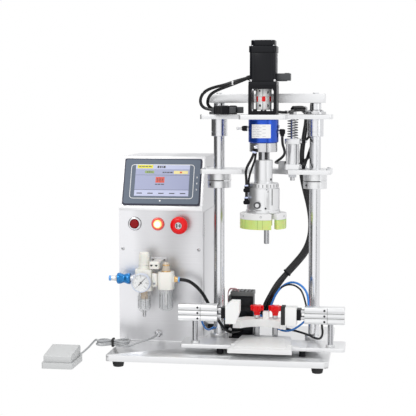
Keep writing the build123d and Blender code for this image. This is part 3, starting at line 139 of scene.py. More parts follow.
class Finish(Shading):
    """A material with one Principled shader."""

    def __init__(self, name, **sockets):
        self.material = bpy.data.materials.new(name)
        self.material.use_nodes = True
        super().__init__(self.material.node_tree)
        self.shader = next(n for n in self.tree.nodes if n.type == "BSDF_PRINCIPLED")
        for socket, value in sockets.items():
            self.feed(socket.replace("_", " "), value)

    def feed(self, socket, value):
        self.put(self.shader.inputs[socket], value)

    def place(self, stretch=(1, 1, 1), turn=(0, 0, 0)):
        spot = self.node("ShaderNodeTexCoord", output="Object")
        return self.node("ShaderNodeMapping", {},
                         {"Vector": spot, "Scale": stretch, "Rotation": turn})

    def noise(self, scale, stretch=(1, 1, 1), detail=3.0):
        return self.node("ShaderNodeTexNoise", {},
                         {"Vector": self.place(stretch), "Scale": scale, "Detail": detail})

    def bump(self, height, depth):
        return self.node("ShaderNodeBump", {},
                         {"Height": height, "Strength": 0.7, "Distance": depth})


def toned(colour, change):
    return tuple(min(1.0, max(0.0, c * (1 + change))) for c in colour)


def worked(name, colour, roughness, tone=0.06, patch=30, grain=800, relief=0.00003, spread=0.12,
           stretch=(1, 1, 1), **fixed):
    """A finish with broad patches of tone and gloss, and a fine grain in slight relief."""
    made = Finish(name, **fixed)
    patches, fine = made.noise(patch), made.noise(grain, stretch)
    made.feed("Base Color", made.mixed(patches * 0.6 + fine * 0.4, toned(colour, -tone),
                                       toned(colour, tone)))
    made.feed("Roughness", (patches - 0.5) * spread + (fine - 0.5) * spread + roughness)
    made.feed("Normal", made.bump(fine, relief))
    return made


satin_aluminium = worked("satin_aluminium", (0.82, 0.825, 0.83), 0.32, 0.05, 24, 1500, 0.00002,
                         Metallic=0.9)
plate_aluminium = worked("plate_aluminium", (0.83, 0.835, 0.84), 0.40, 0.04, 18, 260, 0.00001, 0.1,
                         (1, 6, 6), Metallic=0.75)


def brushed(name, colour, roughness):
    """Sheet brushed sideways: fine level lines, and broad upright bands of painted highlight and
    painted shade in its base colour, standing for the reflections that brushing stretches.
    """
    made = Finish(name, Metallic=0.9)
    # bands: broad upright bands of painted highlight and painted shade in the base colour
    lines, broken, bands = made.noise(46, (0.5, 24, 44)), made.noise(30,
            (0.25, 9, 20)), made.noise(7.5, (1, 0.05, 0.12), 1.0)
    made.feed("Base Color", made.mixed((bands - 0.5) * 4.2 + 0.22 + lines * 0.3 + broken * 0.2,
                                       toned(colour, -0.30), toned(colour, 0.16)))
    made.feed("Roughness", (lines - 0.5) * 0.2 + roughness)
    made.feed("Normal", made.bump(lines, 0.00002))
    return made


brushed_stainless = brushed("brushed_stainless", (0.70, 0.70, 0.715), 0.34)
pale_sheet = worked("pale_sheet", (0.86, 0.86, 0.87), 0.4, 0.03, 8, 60, 0.00001, 0.1, (0.6, 20, 20),
                    Metallic=0.7)
polished_steel = worked("polished_steel", (0.78, 0.785, 0.80), 0.22, 0.02, 8, 260, 0.0000006, 0.02,
                        (1, 1, 0.06),
                        Metallic=1.0)
turned_steel = worked("turned_steel", (0.50, 0.505, 0.52), 0.16, 0.04, 20, 500, 0.000002, 0.05,
                      (1, 1, 3), Metallic=1.0)
machined_steel = worked("machined_steel", (0.66, 0.66, 0.67), 0.25, 0.06, 40, 700, 0.00001, 0.1,
                        (1, 1, 3),
                        Metallic=1.0)
zinc_screw = worked("zinc_screw", (0.62, 0.63, 0.65), 0.3, 0.1, 200, 2500, 0.00002, 0.15,
                    Metallic=1.0)
spring_steel = worked("spring_steel", (0.22, 0.225, 0.235), 0.3, 0.15, 200, 1800, 0.00002,
                      Metallic=1.0)
brass = worked("brass", (0.78, 0.52, 0.24), 0.24, 0.08, 90, 1400, 0.00001, Metallic=1.0)
# near-black sheets put in holes, slots, recesses and gaps between parts: painted shade
dark_hole = worked("dark_hole", (0.012, 0.012, 0.014), 0.6, 0.3, 90, 900, 0.00002)
black_anodised = worked("black_anodised", (0.006, 0.006, 0.008), 0.38, 0.3, 40, 1800, 0.00003, 0.14,
                        Metallic=0.3,
                        Specular_IOR_Level=0.22)
motor_black = worked("motor_black", (0.004, 0.0045, 0.007), 0.34, 0.3, 30, 2200, 0.00005, 0.14,
                     Coat_Weight=0.06, Coat_Roughness=0.2, Specular_IOR_Level=0.22)
blue_anodised = worked("blue_anodised", (0.012, 0.085, 0.56), 0.24, 0.16, 30, 1200, 0.00001, 0.1,
                       (1, 1, 4), Metallic=0.75, Coat_Weight=0.4)
valve_blue = worked("valve_blue", (0.0, 0.19, 0.52), 0.15, 0.2, 60, 1200, 0.00001, 0.06,
                    Metallic=0.75,
                    Coat_Weight=0.6)
collet_blue = worked("collet_blue", (0.16, 0.42, 0.85), 0.3, 0.1, 60, 900, 0.00002, Coat_Weight=0.3)
ring_lilac = worked("ring_lilac", (0.60, 0.66, 0.90), 0.35, 0.06, 60, 900, 0.00002)
white_nylon = worked("white_nylon", (0.90, 0.90, 0.89), 0.42, 0.025, 22, 1300, 0.00003, 0.1,
                     Subsurface_Weight=0.02, Subsurface_Scale=0.002)
grey_white = worked("grey_white", (0.80, 0.80, 0.80), 0.45, 0.03, 22, 1300, 0.00003)
cream_plastic = worked("cream_plastic", (0.87, 0.85, 0.79), 0.30, 0.03, 26, 1500, 0.00003, 0.08,
                       Coat_Weight=0.2, Subsurface_Weight=0.06, Subsurface_Scale=0.003)
black_rubber = worked("black_rubber", (0.012, 0.012, 0.012), 0.62, 0.3, 30, 1100, 0.00006)
hose_black = worked("hose_black", (0.004, 0.004, 0.005), 0.25, 0.3, 40, 1500, 0.00002, 0.1,
                    Coat_Weight=0.1,
                    Specular_IOR_Level=0.35)
hose_blue = worked("hose_blue", (0.03, 0.22, 0.68), 0.26, 0.12, 40, 1500, 0.00002, 0.1,
                   Coat_Weight=0.2)
plug_grey = worked("plug_grey", (0.055, 0.058, 0.062), 0.42, 0.15, 60, 1600, 0.00005)
pink_wire = worked("pink_wire", (0.55, 0.28, 0.30), 0.45, 0.1, 60, 1200, 0.00002)
tie_white = worked("tie_white", (0.86, 0.86, 0.86), 0.4, 0.03, 60, 1200, 0.00002)
red_plastic = worked("red_plastic", (0.82, 0.002, 0.005), 0.24, 0.08, 30, 900, 0.00001, 0.06,
                     Coat_Weight=0.12,
                     Coat_Roughness=0.08, Specular_IOR_Level=0.3)
dark_red_lens = worked("dark_red_lens", (0.27, 0.0, 0.002), 0.2, 0.12, 60, 900, 0.00001, 0.04,
                       Coat_Weight=0.08,
                       Specular_IOR_Level=0.2)
coral_ring = worked("coral_ring", (0.85, 0.10, 0.09), 0.25, 0.08, 60, 900, 0.00001, Coat_Weight=0.4)
panel_grey = worked("panel_grey", (0.105, 0.135, 0.185), 0.45, 0.05, 18, 1900, 0.00004, 0.08)
panel_edge = worked("panel_edge", (0.028, 0.028, 0.055), 0.45, 0.08, 18, 1900, 0.00003)
pedal_grey = worked("pedal_grey", (0.60, 0.61, 0.61), 0.52, 0.05, 26, 1300, 0.00008, 0.12)
cord_grey = worked("cord_grey", (0.44, 0.45, 0.46), 0.40, 0.06, 60, 900, 0.00004, 0.1,
                   Coat_Weight=0.1)
amber_element = worked("amber_element", (0.74, 0.52, 0.26), 0.7, 0.12, 120, 2400, 0.00008)
gauge_rim = worked("gauge_rim", (0.62, 0.68, 0.80), 0.32, 0.05, 60, 900, 0.00001, Coat_Weight=0.3)
paper_white = worked("paper_white", (0.88, 0.88, 0.87), 0.55, 0.02, 60, 1500, 0.00001)
print_grey = worked("print_grey", (0.36, 0.37, 0.42), 0.6, 0.08, 90, 1200, 0.00001)
print_black = worked("print_black", (0.02, 0.02, 0.022), 0.5, 0.1, 90, 1200, 0.00001)
relay_grey = worked("relay_grey", (0.11, 0.115, 0.115), 0.45, 0.15, 60, 1600, 0.00004)


def braided(name, colour, gap_colour):
    """Woven sleeving: two sets of fine slanting strands over a darker core."""
    made = Finish(name)
    strands = []
    for turn in ((0.9, 0.6, 0.0), (-0.9, -0.6, 0.4)):
        strands.append(made.node("ShaderNodeTexWave",
                                 {"bands_direction": "Z", "wave_profile": "SIN"},
                                 {"Vector": made.place(turn=turn), "Scale": 150.0,
                                  "Distortion": 0.6}, output=1))
    weave = strands[0] * strands[1]
    patches = made.noise(60)
    made.feed("Base Color", made.mixed(weave * 0.8 + patches * 0.2, gap_colour, colour))
    made.feed("Roughness", 0.62 - weave * 0.30)
    made.feed("Normal", made.bump(weave, 0.0004))
    return made


sleeve_black = braided("sleeve_black", (0.060, 0.060, 0.064), (0.006, 0.006, 0.007))


def lit(name, colour, strength):
    """A surface that glows evenly, behind a glossy face."""
    made = worked(name, colour, 0.25, 0.03, 50, 900, 0.00001, 0.05)
    made.feed("Emission Color", made.mixed(made.noise(90), toned(colour, -0.05), colour))
    made.feed("Emission Strength", strength)
    return made


yellow_lens = lit("yellow_lens", (0.98, 0.80, 0.30), 0.45)
lens_core = lit("lens_core", (1.0, 0.94, 0.66), 0.75)
display_lilac = lit("display_lilac", (0.27, 0.295, 0.45), 0.16)
display_band = lit("display_band", (0.42, 0.45, 0.62), 0.16)
display_yellow = lit("display_yellow", (0.60, 0.55, 0.0), 0.2)
display_green = lit("display_green", (0.20, 0.30, 0.07), 0.12)
display_cream = lit("display_cream", (0.72, 0.62, 0.26), 0.14)
display_orange = lit("display_orange", (0.60, 0.035, 0.0), 0.12)
display_red = lit("display_red", (0.28, 0.004, 0.003), 0.1)
display_ink = lit("display_ink", (0.012, 0.012, 0.03), 0.01)


def clear(name, colour, roughness, alpha):
    """Clear moulded plastic: seen through, with faint flow marks in its gloss."""
    made = Finish(name, Base_Color=colour, Metallic=0.0, IOR=1.45, Transmission_Weight=0.0,
                  Alpha=alpha,
                  Coat_Weight=1.0, Coat_Roughness=0.04)
    fine = made.noise(160, (1, 1, 0.2))
    made.feed("Roughness", (fine - 0.5) * 0.06 + roughness)
    made.feed("Base Color", made.mixed(fine, toned(colour, -0.06), colour))
    made.feed("Normal", made.bump(fine, 0.00004))
    return made


clear_bowl = clear("clear_bowl", (0.80, 0.82, 0.83), 0.08, alpha=0.22)
gauge_glass = clear("gauge_glass", (0.95, 0.96, 0.97), 0.05, alpha=0.10)
sight_dome = clear("sight_dome", (0.86, 0.78, 0.66), 0.12, alpha=0.55)

# dark translucent finish for the ribs on the clear bowls: painted dark edges, where the real ribs
# are clear
bowl_edge = clear("bowl_edge", (0.20, 0.21, 0.22), 0.1, alpha=0.55)
lime_seam = worked("lime_seam", (0.30, 0.42, 0.07), 0.35, 0.1, 60, 900, 0.00003)

lime_polyurethane = worked("lime_polyurethane", (0.60, 0.72, 0.22), 0.30, 0.10, 26, 500, 0.00004,
                           0.1,
                           Subsurface_Weight=0.35, Subsurface_Scale=0.012, Coat_Weight=0.3)


# ---------------------------------------------------------------- pieces
def eased(bit, width):
    """Bevels the sharp edges of a bit, its width in millimetres."""
    edges = [e for e in bit.edges if e.is_manifold and e.calc_face_angle() > radians(SHARP_ANGLE)]
    bmesh.ops.bevel(bit, geom=edges, offset=width / 1000, offset_type="OFFSET", affect="EDGES",
                    segments=2, profile=0.5, material=-1, clamp_overlap=True)


def route(name, points, radius, sides=3, steps=8):
    """A smooth NURBS curve through a route's points, as thick as the hose."""
    data = bpy.data.curves.new(name, "CURVE")
    data.dimensions, data.resolution_u = "3D", steps
    spline = data.splines.new("NURBS")
    spline.points.add(len(points) - 1)
    for point, spot in zip(spline.points, points):
        point.co = (*spot, 1)
    spline.order_u, spline.use_endpoint_u = 3, True
    data.bevel_depth, data.bevel_resolution, data.use_fill_caps = radius / 1000, sides, True
    made = bpy.data.objects.new(name, data)
    bpy.context.scene.collection.objects.link(made)
    return made


class Piece:
    """A mesh built up from bits, each with a finish."""

    def __init__(self, name):
        self.name, self.mesh, self.finishes = name, bmesh.new(), []

    def take(self, bit, finish, weld=True):
        if weld:
            bmesh.ops.remove_doubles(bit, verts=bit.verts, dist=WELD)
            bmesh.ops.recalc_face_normals(bit, faces=bit.faces)
        if finish not in self.finishes:
            self.finishes.append(finish)
        for face in bit.faces:
            face.material_index, face.smooth = self.finishes.index(finish), True
        held = bpy.data.meshes.new("held")
        bit.to_mesh(held)
        bit.free()
        self.mesh.from_mesh(held)
        bpy.data.meshes.remove(held)

    def turned(self, finish, centre, along, profile, steps=40):
        """Spins a profile of (radius, distance) in millimetres about the line leaving centre."""
        along = Vector(along).normalized()
        across = along.orthogonal().normalized()
        bit = bmesh.new()
        line = [bit.verts.new(centre + (across * out + along * far) / 1000) for out, far in profile]
        for pair in zip(line, line[1:]):
            bit.edges.new(pair)
        bmesh.ops.spin(bit, geom=bit.verts[:] + bit.edges[:], cent=centre, axis=along, angle=2 * pi,
                       steps=steps, use_merge=True)
        self.take(bit, finish)

    def slab(self, finish, middle, size, ease=0.4, turn=None, corner=0.0, round_along=2):
        """A block about its middle, with eased edges; corner rounds those along one axis."""
        bit = bmesh.new()
        bmesh.ops.create_cube(bit, size=1)
        bmesh.ops.scale(bit, vec=Vector(size) / 1000, verts=bit.verts)
        if corner:
            edges = [e for e in bit.edges
                     if abs((e.verts[0].co - e.verts[1].co).normalized()[round_along]) > 0.9]
            bmesh.ops.bevel(bit, geom=edges, offset=corner / 1000, offset_type="OFFSET",
                            affect="EDGES",
                            segments=6, profile=0.5, material=-1)
        if ease:
            eased(bit, ease)
        bmesh.ops.transform(bit, matrix=Matrix.Translation(middle) @ (turn or Matrix()),
                            verts=bit.verts)
        self.take(bit, finish)

    def prism(self, finish, outline, base, across, upward, depth, ease=0.0):
        """An outline in millimetres, raised by depth along its two directions' cross product."""
        bit = bmesh.new()
        rim = [bit.verts.new(base + (across * a + upward * b) / 1000) for a, b in outline]
        raised = bmesh.ops.extrude_face_region(bit, geom=[bit.faces.new(rim)], use_keep_orig=True)
        moved = [v for v in raised["geom"] if isinstance(v, bmesh.types.BMVert)]
        bmesh.ops.translate(bit, vec=across.cross(upward) * depth / 1000, verts=moved)
        bmesh.ops.recalc_face_normals(bit, faces=bit.faces)
        if ease:
            eased(bit, ease)
        self.take(bit, finish)

    def hose(self, finish, points, radius, sides=3, steps=8):
        """A round hose along a smooth route."""
        made = route("hose", points, radius, sides, steps)
        mesh = bpy.data.meshes.new_from_object(made)
        bit = bmesh.new()
        bit.from_mesh(mesh)
        bpy.data.objects.remove(made)
        bpy.data.meshes.remove(mesh)
        self.take(bit, finish)

    def screw(self, centre, along, radius=4.0, tall=4.0, finish=None):
        """A socket cap screw's head: a round recess cut into the top, with a dark six-sided disc in
        it as painted shade of the socket.
        """
        metal = finish or zinc_screw
        along = Vector(along).normalized()
        self.turned(metal, centre, along, [(0, 0), (radius, 0), (radius, tall - 0.4),
                                           (radius - 0.4, tall),
                                           (radius * 0.56, tall), (radius * 0.56, tall * 0.45),
                                           (0, tall * 0.45)], 24)
        # dark six-sided disc in the recess: painted shade of the socket
        self.turned(dark_hole, centre, along, [(0, tall * 0.5), (radius * 0.5, tall * 0.5)], 6)

    def copied(self, node, finish, ease=0.0, keep=None):
        """A CAD node's mesh, welded and eased; keep picks loose parts by their middle."""
        bit = bmesh.new()
        bit.from_mesh(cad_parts[node].data)
        bmesh.ops.remove_doubles(bit, verts=bit.verts, dist=WELD)
        if keep:
            left = set(bit.verts)
            while left:
                part, edge = set(), [left.pop()]
                while edge:
                    vert = edge.pop()
                    part.add(vert)
                    for link in vert.link_edges:
                        other = link.other_vert(vert)
                        if other in left:
                            left.discard(other)
                            edge.append(other)
                middle = sum((v.co for v in part), Vector()) / len(part)
                if not keep(middle):
                    bmesh.ops.delete(bit, geom=list(part), context="VERTS")
        if ease:
            bmesh.ops.dissolve_limit(bit, angle_limit=radians(FLAT_ANGLE), verts=bit.verts,
                                     edges=bit.edges)
            eased(bit, ease)
        self.take(bit, finish, weld=False)

    def done(self, body, *nodes, slot, crease=28):
        """Makes the object, which rides on a body and stands for the CAD nodes named."""
        mesh = bpy.data.meshes.new(self.name)
        self.mesh.to_mesh(mesh)
        self.mesh.free()
        for finish in self.finishes:
            mesh.materials.append(finish.material)
        mesh.set_sharp_from_angle(angle=radians(crease))
        made = bpy.data.objects.new(self.name, mesh)
        bpy.context.scene.collection.objects.link(made)
        if body:
            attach(made, body)
        if nodes:
            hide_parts(*nodes)
        return made


def finished(node, finish):
    """A CAD node that keeps its own shape and gets a finish."""
    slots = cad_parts[node].data.materials
    if len(slots):
        for index in range(len(slots)):
            slots[index] = finish.material
    else:
        slots.append(finish.material)


# ---------------------------------------------------------------- camera and pedal cord
camera = bpy.data.objects.new("camera", bpy.data.cameras.new("camera"))
camera.data.lens, camera.data.sensor_width = 97.4, 36.0
camera.data.clip_start, camera.data.clip_end = 0.1, 100.0
camera.location = (0.2432, -2.4165, 0.5145)
camera.rotation_euler = (radians(90 - 5.189), 0, radians(8.565))
bpy.context.scene.collection.objects.link(camera)
bpy.context.scene.camera = camera

CORD_DIAMETER = 4.5
HANK_MIDDLE = (-338, 14)
LAYER_DROP, HANK_TOP = 4.75, 46.2


def hank_turn(level, half_long, half_wide, skew):
    """One turn of the hank from its left end, drawn in at the tie and sinking a layer."""
    shape = [(-1.0, -0.25), (-0.86, -0.8), (-0.55, -1.0), (-0.26, -0.5), (-0.07, -0.2),
             (0.07, -0.2),
             (0.3, -0.5), (0.6, -1.0), (0.88, -0.78), (1.0, -0.25), (1.0, 0.3), (0.86, 0.82),
             (0.55, 1.0),
             (0.27, 0.5), (0.07, 0.2), (-0.07, 0.2), (-0.27, 0.5), (-0.58, 1.0), (-0.88, 0.8),
             (-1.0, 0.3)]
    points = []
    for number, (a, b) in enumerate(shape):
        points.append(at(HANK_MIDDLE[0] + a * half_long, HANK_MIDDLE[1] + b * half_wide + a * skew,
                         level - LAYER_DROP * number / len(shape)))
    return points


pedal_run = [(-416, -3.8, 9), (-416, 12, 9), (-410, 27, 13), (-399, 32, 23), (-389, 29, 34),
             (-381, 20, 42)]
cord_points = spots(pedal_run)
cord_points += hank_turn(HANK_TOP, 37, 20.5, 1.0) + hank_turn(HANK_TOP - LAYER_DROP, 35, 19, -1.5)
cord_points += hank_turn(HANK_TOP - 2 * LAYER_DROP, 37.5, 20.5, 0.5)[:9]
gland_run = [(-299, 8, 33.5), (-293, 12, 36), (-283, 14.5, 40), (-270, 24, 43), (-258, 40, 45),
             (-250, 58, 47.5),
             (-249, 75.7, 48)]
cord_points += spots(gland_run)
pedal_cord = route("pedal_cord", cord_points, CORD_DIAMETER / 2, sides=3, steps=6)
pedal_cord.data.materials.append(cord_grey.material)
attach(pedal_cord, "frame")
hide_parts("pedal_cable", "cable_hank")

tie = Piece("hank_tie")
tie.slab(black_rubber, at(-338, 14, 39.6), (5, 17.5, 19.5), 1.2, corner=4, round_along=0)
tie.slab(black_rubber, at(-338, 5.2, 45), (4, 5, 3.4), 0.8, turn=round_about(RIGHT, 30))
hank_tie = tie.done("frame", slot="black_rubber")

# ---------------------------------------------------------------- base
base = Piece("base_slab")
base.copied("base_plate", satin_aluminium)
base.done("frame", "base_plate", slot="satin_aluminium")

feet = Piece("rubber_feet")
for x in (-313, 122):
    for y in (-44, 298):
        feet.turned(black_rubber, at(x, y, 0), UP,
                    [(0, 1.6), (4.5, 1.6), (5.2, 0), (10.4, 0), (11.4, 0.9), (11.8, 4),
                                                    (12.3, 4.4), (12.5, 8), (13.0, 8.4),
                                                    (13.4, 14.6), (0, 14.6)], 32)
        feet.turned(zinc_screw, at(x, y, 1.8), DOWN, [(0, 0), (3.4, 0), (3.4, 0.6), (0, 0.6)], 16)
feet.done("frame", "base_feet", slot="black_rubber")

# ---------------------------------------------------------------- control box
finished("control_box_shell", brushed_stainless)
finished("control_box_back", brushed_stainless)
finished("control_gear", relay_grey)
finished("power_inlet", black_rubber)

lean = (BACK * 46 + UP * 116).normalized()
out = RIGHT.cross(lean)
head_middle = at(-244, 115, 394)
panel_turn = Matrix((RIGHT, lean, out)).transposed().to_4x4()


def on_panel(a, b, rise):
    """A place on the slanted head: right of its middle, up its slope, and out from it."""
    return head_middle + (RIGHT * a + lean * b + out * rise) / 1000


box = Piece("box_trim")
# the pale folded face round the touch panel, and the door on the right side
for a, b, wide, tall in ((0, 59.3, 193, 5.6), (0, -59.3, 193, 5.6), (-93.4, 0, 6.0, 113),
                         (93.4, 0, 6.0, 113)):
    box.slab(pale_sheet, on_panel(a, b, 0.3), (wide, tall, 0.9), 0.25, turn=panel_turn)
box.slab(pale_sheet, at(-244, 91.4, 333.6), (193.6, 1.4, 6.4), 0.4)
box.slab(brushed_stainless, at(-146.4, 213, 184), (1.0, 206, 286), 0.3)
for height in (84, 284):
    box.turned(machined_steel, at(-146.6, 107, height - 14), UP,
               [(0, 0), (2.6, 0), (2.6, 28), (0, 28)], 16)
box.slab(pale_sheet, at(-244, 91.6, 29.6), (194, 1.6, 2.2), 0.3)
box.done("frame", slot="brushed_stainless")

lock = Piece("door_lock")
lock.turned(polished_steel, at(-147, 298, 236), RIGHT,
            [(0, 5.4), (5.2, 5.4), (5.2, 6), (6.6, 6), (7.8, 4.6), (8, 3.6), (8, 0.4), (0, 0.4)])
lock.slab(dark_hole, at(-141.5, 298, 236), (0.5, 9, 1.5), 0)
lock.done("box_lock", "cam_lock", slot="polished_steel")

# touch panel
panel = Piece("touch_panel")


def rounded(wide, tall, corner):
    """Outline of a rectangle with round corners, about its middle."""
    points, steps = [], 5
    for quarter, (sx, sy) in enumerate(((1, 1), (-1, 1), (-1, -1), (1, -1))):
        for step in range(steps + 1):
            angle = pi / 2 * (quarter + step / steps)
            points.append((sx * (wide / 2 - corner) + corner * cos(angle),
                           sy * (tall / 2 - corner) + corner * sin(angle)))
    return points


def framed(piece, finish, wide, tall, corner, bar, height, rise):
    """A rounded rectangular frame of one bar width standing on the panel."""
    bit = bmesh.new()
    outer = [bit.verts.new(on_panel(a, b, rise)) for a, b in rounded(wide, tall, corner)]
    inner = [bit.verts.new(on_panel(a, b, rise)) for a,
             b in rounded(wide - 2 * bar, tall - 2 * bar, max(corner - bar, 0.6))]
    loops = []
    for ring in (outer, inner):
        loops += [bit.edges.new(pair) for pair in zip(ring, ring[1:] + ring[:1])]
    faces = bmesh.ops.bridge_loops(bit, edges=loops)["faces"]
    raised = bmesh.ops.extrude_face_region(bit, geom=faces, use_keep_orig=True)
    bmesh.ops.translate(bit, vec=out * height / 1000,
                        verts=[v for v in raised["geom"] if isinstance(v, bmesh.types.BMVert)])
    piece.take(bit, finish)


panel.prism(panel_edge, rounded(180, 112, 4), on_panel(0, 0, 0.1), RIGHT, lean, 3.4, 0.4)
framed(panel, panel_grey, 174.5, 106.5, 5, 24.2, 1.5, 3.5)
framed(panel, paper_white, 147.5, 82, 7, 1.3, 0.35, 4.95)
panel.slab(panel_grey, on_panel(0, -42, 4.0), (127, 8, 1.2), 0.1, turn=panel_turn)
DISPLAY_WIDE, DISPLAY_TALL, DISPLAY_UP = 126, 76, 3.2
panel.slab(display_lilac, on_panel(0, DISPLAY_UP, 4.65), (DISPLAY_WIDE, DISPLAY_TALL, 1.0), 0,
           turn=panel_turn)


def shown(finish, left, top, right, bottom, rise=5.08):
    """A flat field on the display, its place given in shares of the display's width and height."""
    a = ((left + right) / 2 - 0.5) * DISPLAY_WIDE
    b = (0.5 - (top + bottom) / 2) * DISPLAY_TALL + DISPLAY_UP
    panel.slab(finish, on_panel(a, b, rise), ((right - left) * DISPLAY_WIDE,
                                              (bottom - top) * DISPLAY_TALL, 0.25), 0,
               turn=panel_turn)


def bars(finish, spans, top, bottom, rise):
    """A row of plain bars in place of writing."""
    for left, right in spans:
        shown(finish, left, top, right, bottom, rise)


LOW, HIGH = 5.2, 5.32  # how far the fields of the second and third layer stand out
shown(display_band, 0.0, 0.0, 1.0, 0.15)
shown(display_yellow, 0.03, 0.02, 0.32, 0.13, LOW)
bars(display_ink, ((0.055, 0.10), (0.11, 0.17), (0.18, 0.225), (0.24, 0.29)), 0.06, 0.085, HIGH)
bars(display_ink, ((0.40, 0.435), (0.445, 0.475), (0.485, 0.50), (0.51, 0.55)), 0.045, 0.115, LOW)
shown(display_green, 0.175, 0.20, 0.345, 0.285, LOW)
bars(display_ink, ((0.21, 0.235), (0.245, 0.28), (0.29, 0.315)), 0.23, 0.255, HIGH)
bars(display_ink, ((0.50, 0.535), (0.545, 0.575), (0.585, 0.63), (0.64, 0.685)), 0.235, 0.27, LOW)
shown(display_cream, 0.71, 0.20, 0.97, 0.30, LOW)
shown(display_orange, 0.82, 0.225, 0.86, 0.275, HIGH)
shown(display_ink, 0.0, 0.335, 1.0, 0.342, LOW)
shown(display_orange, 0.38, 0.40, 0.545, 0.58, LOW)
bars(display_red, ((0.40, 0.43), (0.445, 0.48), (0.495, 0.525)), 0.44, 0.54, HIGH)
bars(display_ink, ((0.375, 0.42), (0.43, 0.475), (0.485, 0.54)), 0.615, 0.645, LOW)
shown(display_ink, 0.0, 0.80, 1.0, 0.807, LOW)
shown(display_band, 0.0, 0.815, 1.0, 1.0)
bars(display_ink, [(0.045 + 0.2 * number, 0.145 + 0.2 * number) for number in range(5)], 0.90, 0.93,
     LOW)
for b in (10.4, -4, -18.7):
    panel.slab(paper_white, on_panel(81, b, 5.1), (2.4, 3.4, 0.2), 0, turn=panel_turn)
    panel.slab(display_ink, on_panel(81, b, 5.2), (0.9, 1.6, 0.2), 0, turn=panel_turn)
panel.turned(paper_white, on_panel(-2, -46, 5.0), out, [(0, 0.2), (1.9, 0.2), (1.9, 0)], 20)
# the housing behind the bezel, inside the box
panel.slab(panel_edge, on_panel(0, 0, -16), (164, 96, 31), 1, turn=panel_turn)
panel.done("frame", "hmi_panel", slot="panel_grey")

# push buttons
RED_FACE, LIT_FACE, STOP_FACE = (at(x, 92, 300) for x in (-304, -250, -197))
rings = Piece("button_rings")
for face, ring in ((RED_FACE, polished_steel), (LIT_FACE, coral_ring), (STOP_FACE, black_anodised)):
    rings.turned(ring, face, FRONT, [(10.2, -20), (11, -20), (11, -0.1), (11, 0.1), (15, 0.1),
                                     (15, 2.4), (14.2, 4.2),
                                     (12.8, 5), (11.2, 4.8), (9.9, 3.6), (9.9, -19)], 56)
    rings.slab(relay_grey, face + BACK * 0.035, (28, 22, 40), 1)
# thin black ring round the foot of the red button's bezel: painted shadow
rings.turned(black_rubber, RED_FACE, FRONT, [(15.05, 0.05), (15.6, 0.05), (15.6, 1.0),
                                             (15.05, 1.2)], 56)
rings.done("frame", "button_bodies", slot="polished_steel")

red_cap = Piece("red_button")
red_cap.turned(dark_red_lens, RED_FACE, FRONT,
               [(0, -13.5), (9.4, -13.5), (9.4, 6.2), (9.1, 7.2), (8.4, 7.9), (7.6, 8.1), (6, 7.9),
                (3, 8.2), (0, 8.35)], 48)
red_cap.done("red_button", "red_button_cap", slot="dark_red_lens")

yellow_cap = Piece("lit_button")
yellow_cap.turned(yellow_lens, LIT_FACE, FRONT,
                  [(0, -13.5), (9.4, -13.5), (9.4, 6.8), (9.0, 8.0), (8.2, 8.6), (6.6, 8.9)], 48)
yellow_cap.turned(lens_core, LIT_FACE, FRONT, [(6.6, 8.9), (3.6, 9.1), (0, 9.2)], 40)
yellow_cap.done("lit_button", "lit_button_cap", slot="yellow_lens")

stop_head = Piece("stop_head")
stop_head.turned(red_plastic, STOP_FACE, FRONT,
                 [(9.4, -13.5), (9.4, 12), (11, 14.5), (14, 16.4), (17.6, 18.2), (19.4, 20.2),
                  (20, 22.4), (20, 26),
                  (19.4, 28.6), (18, 30.8), (15.5, 32.6), (12.4, 33.7), (9.6, 34), (8.4, 33.6),
                  (7.9, 32.6), (7.9, 25)], 64)
stop_head.turned(polished_steel, STOP_FACE, FRONT,
                 [(7.9, 25), (7.9, 33.2), (7.4, 33.8), (6.6, 33.8), (6.2, 33.2), (6.2, 24.4),
                  (0, 24.4)], 40)
stop_head.done("estop", "estop_head", slot="red_plastic", crease=40)

stop_key = Piece("stop_key")
stop_key.turned(machined_steel, STOP_FACE, FRONT,
                [(0, 25), (6, 25), (6, 32.6), (5.4, 33.4), (0, 33.4)], 32)
for side in (-1, 1):
    stop_key.slab(print_black, at(-197 + side * 3.3, 58.5, 300), (2.6, 0.3, 7.5), 0.1)
stop_key.slab(dark_hole, at(-197, 58.55, 300), (1.1, 0.35, 5.6), 0)
stop_key.done("estop_key", "estop_key", slot="polished_steel")

GLAND_FACE = at(-249, 92, 48)
gland = Piece("cord_gland")
gland.turned(machined_steel, GLAND_FACE, FRONT,
             [(5.9, -11.5), (5.9, 0), (8.4, 0), (8.4, 0.4), (5.9, 0.4)], 32)
gland.turned(machined_steel, GLAND_FACE, FRONT,
             [(2.3, 0.4), (9.4, 0.4), (9.4, 4.8), (8.6, 5.4), (2.3, 5.4)], 6)
gland.turned(polished_steel, GLAND_FACE, FRONT,
             [(2.3, 5.4), (7.4, 5.4), (7.6, 6.2), (7.6, 11), (6.4, 12.8), (5, 14.2), (4.5, 15.8),
              (2.35, 15.9)], 32)
for turn in range(16):
    angle = 22.5 * turn
    gland.slab(polished_steel, GLAND_FACE + FRONT * 0.0086 + swung(RIGHT, UP, angle) * 0.0076,
               (1.0, 4.6, 0.8), 0.1,
               turn=round_about(BACK, -angle))
gland.done("frame", "cable_gland", slot="polished_steel")

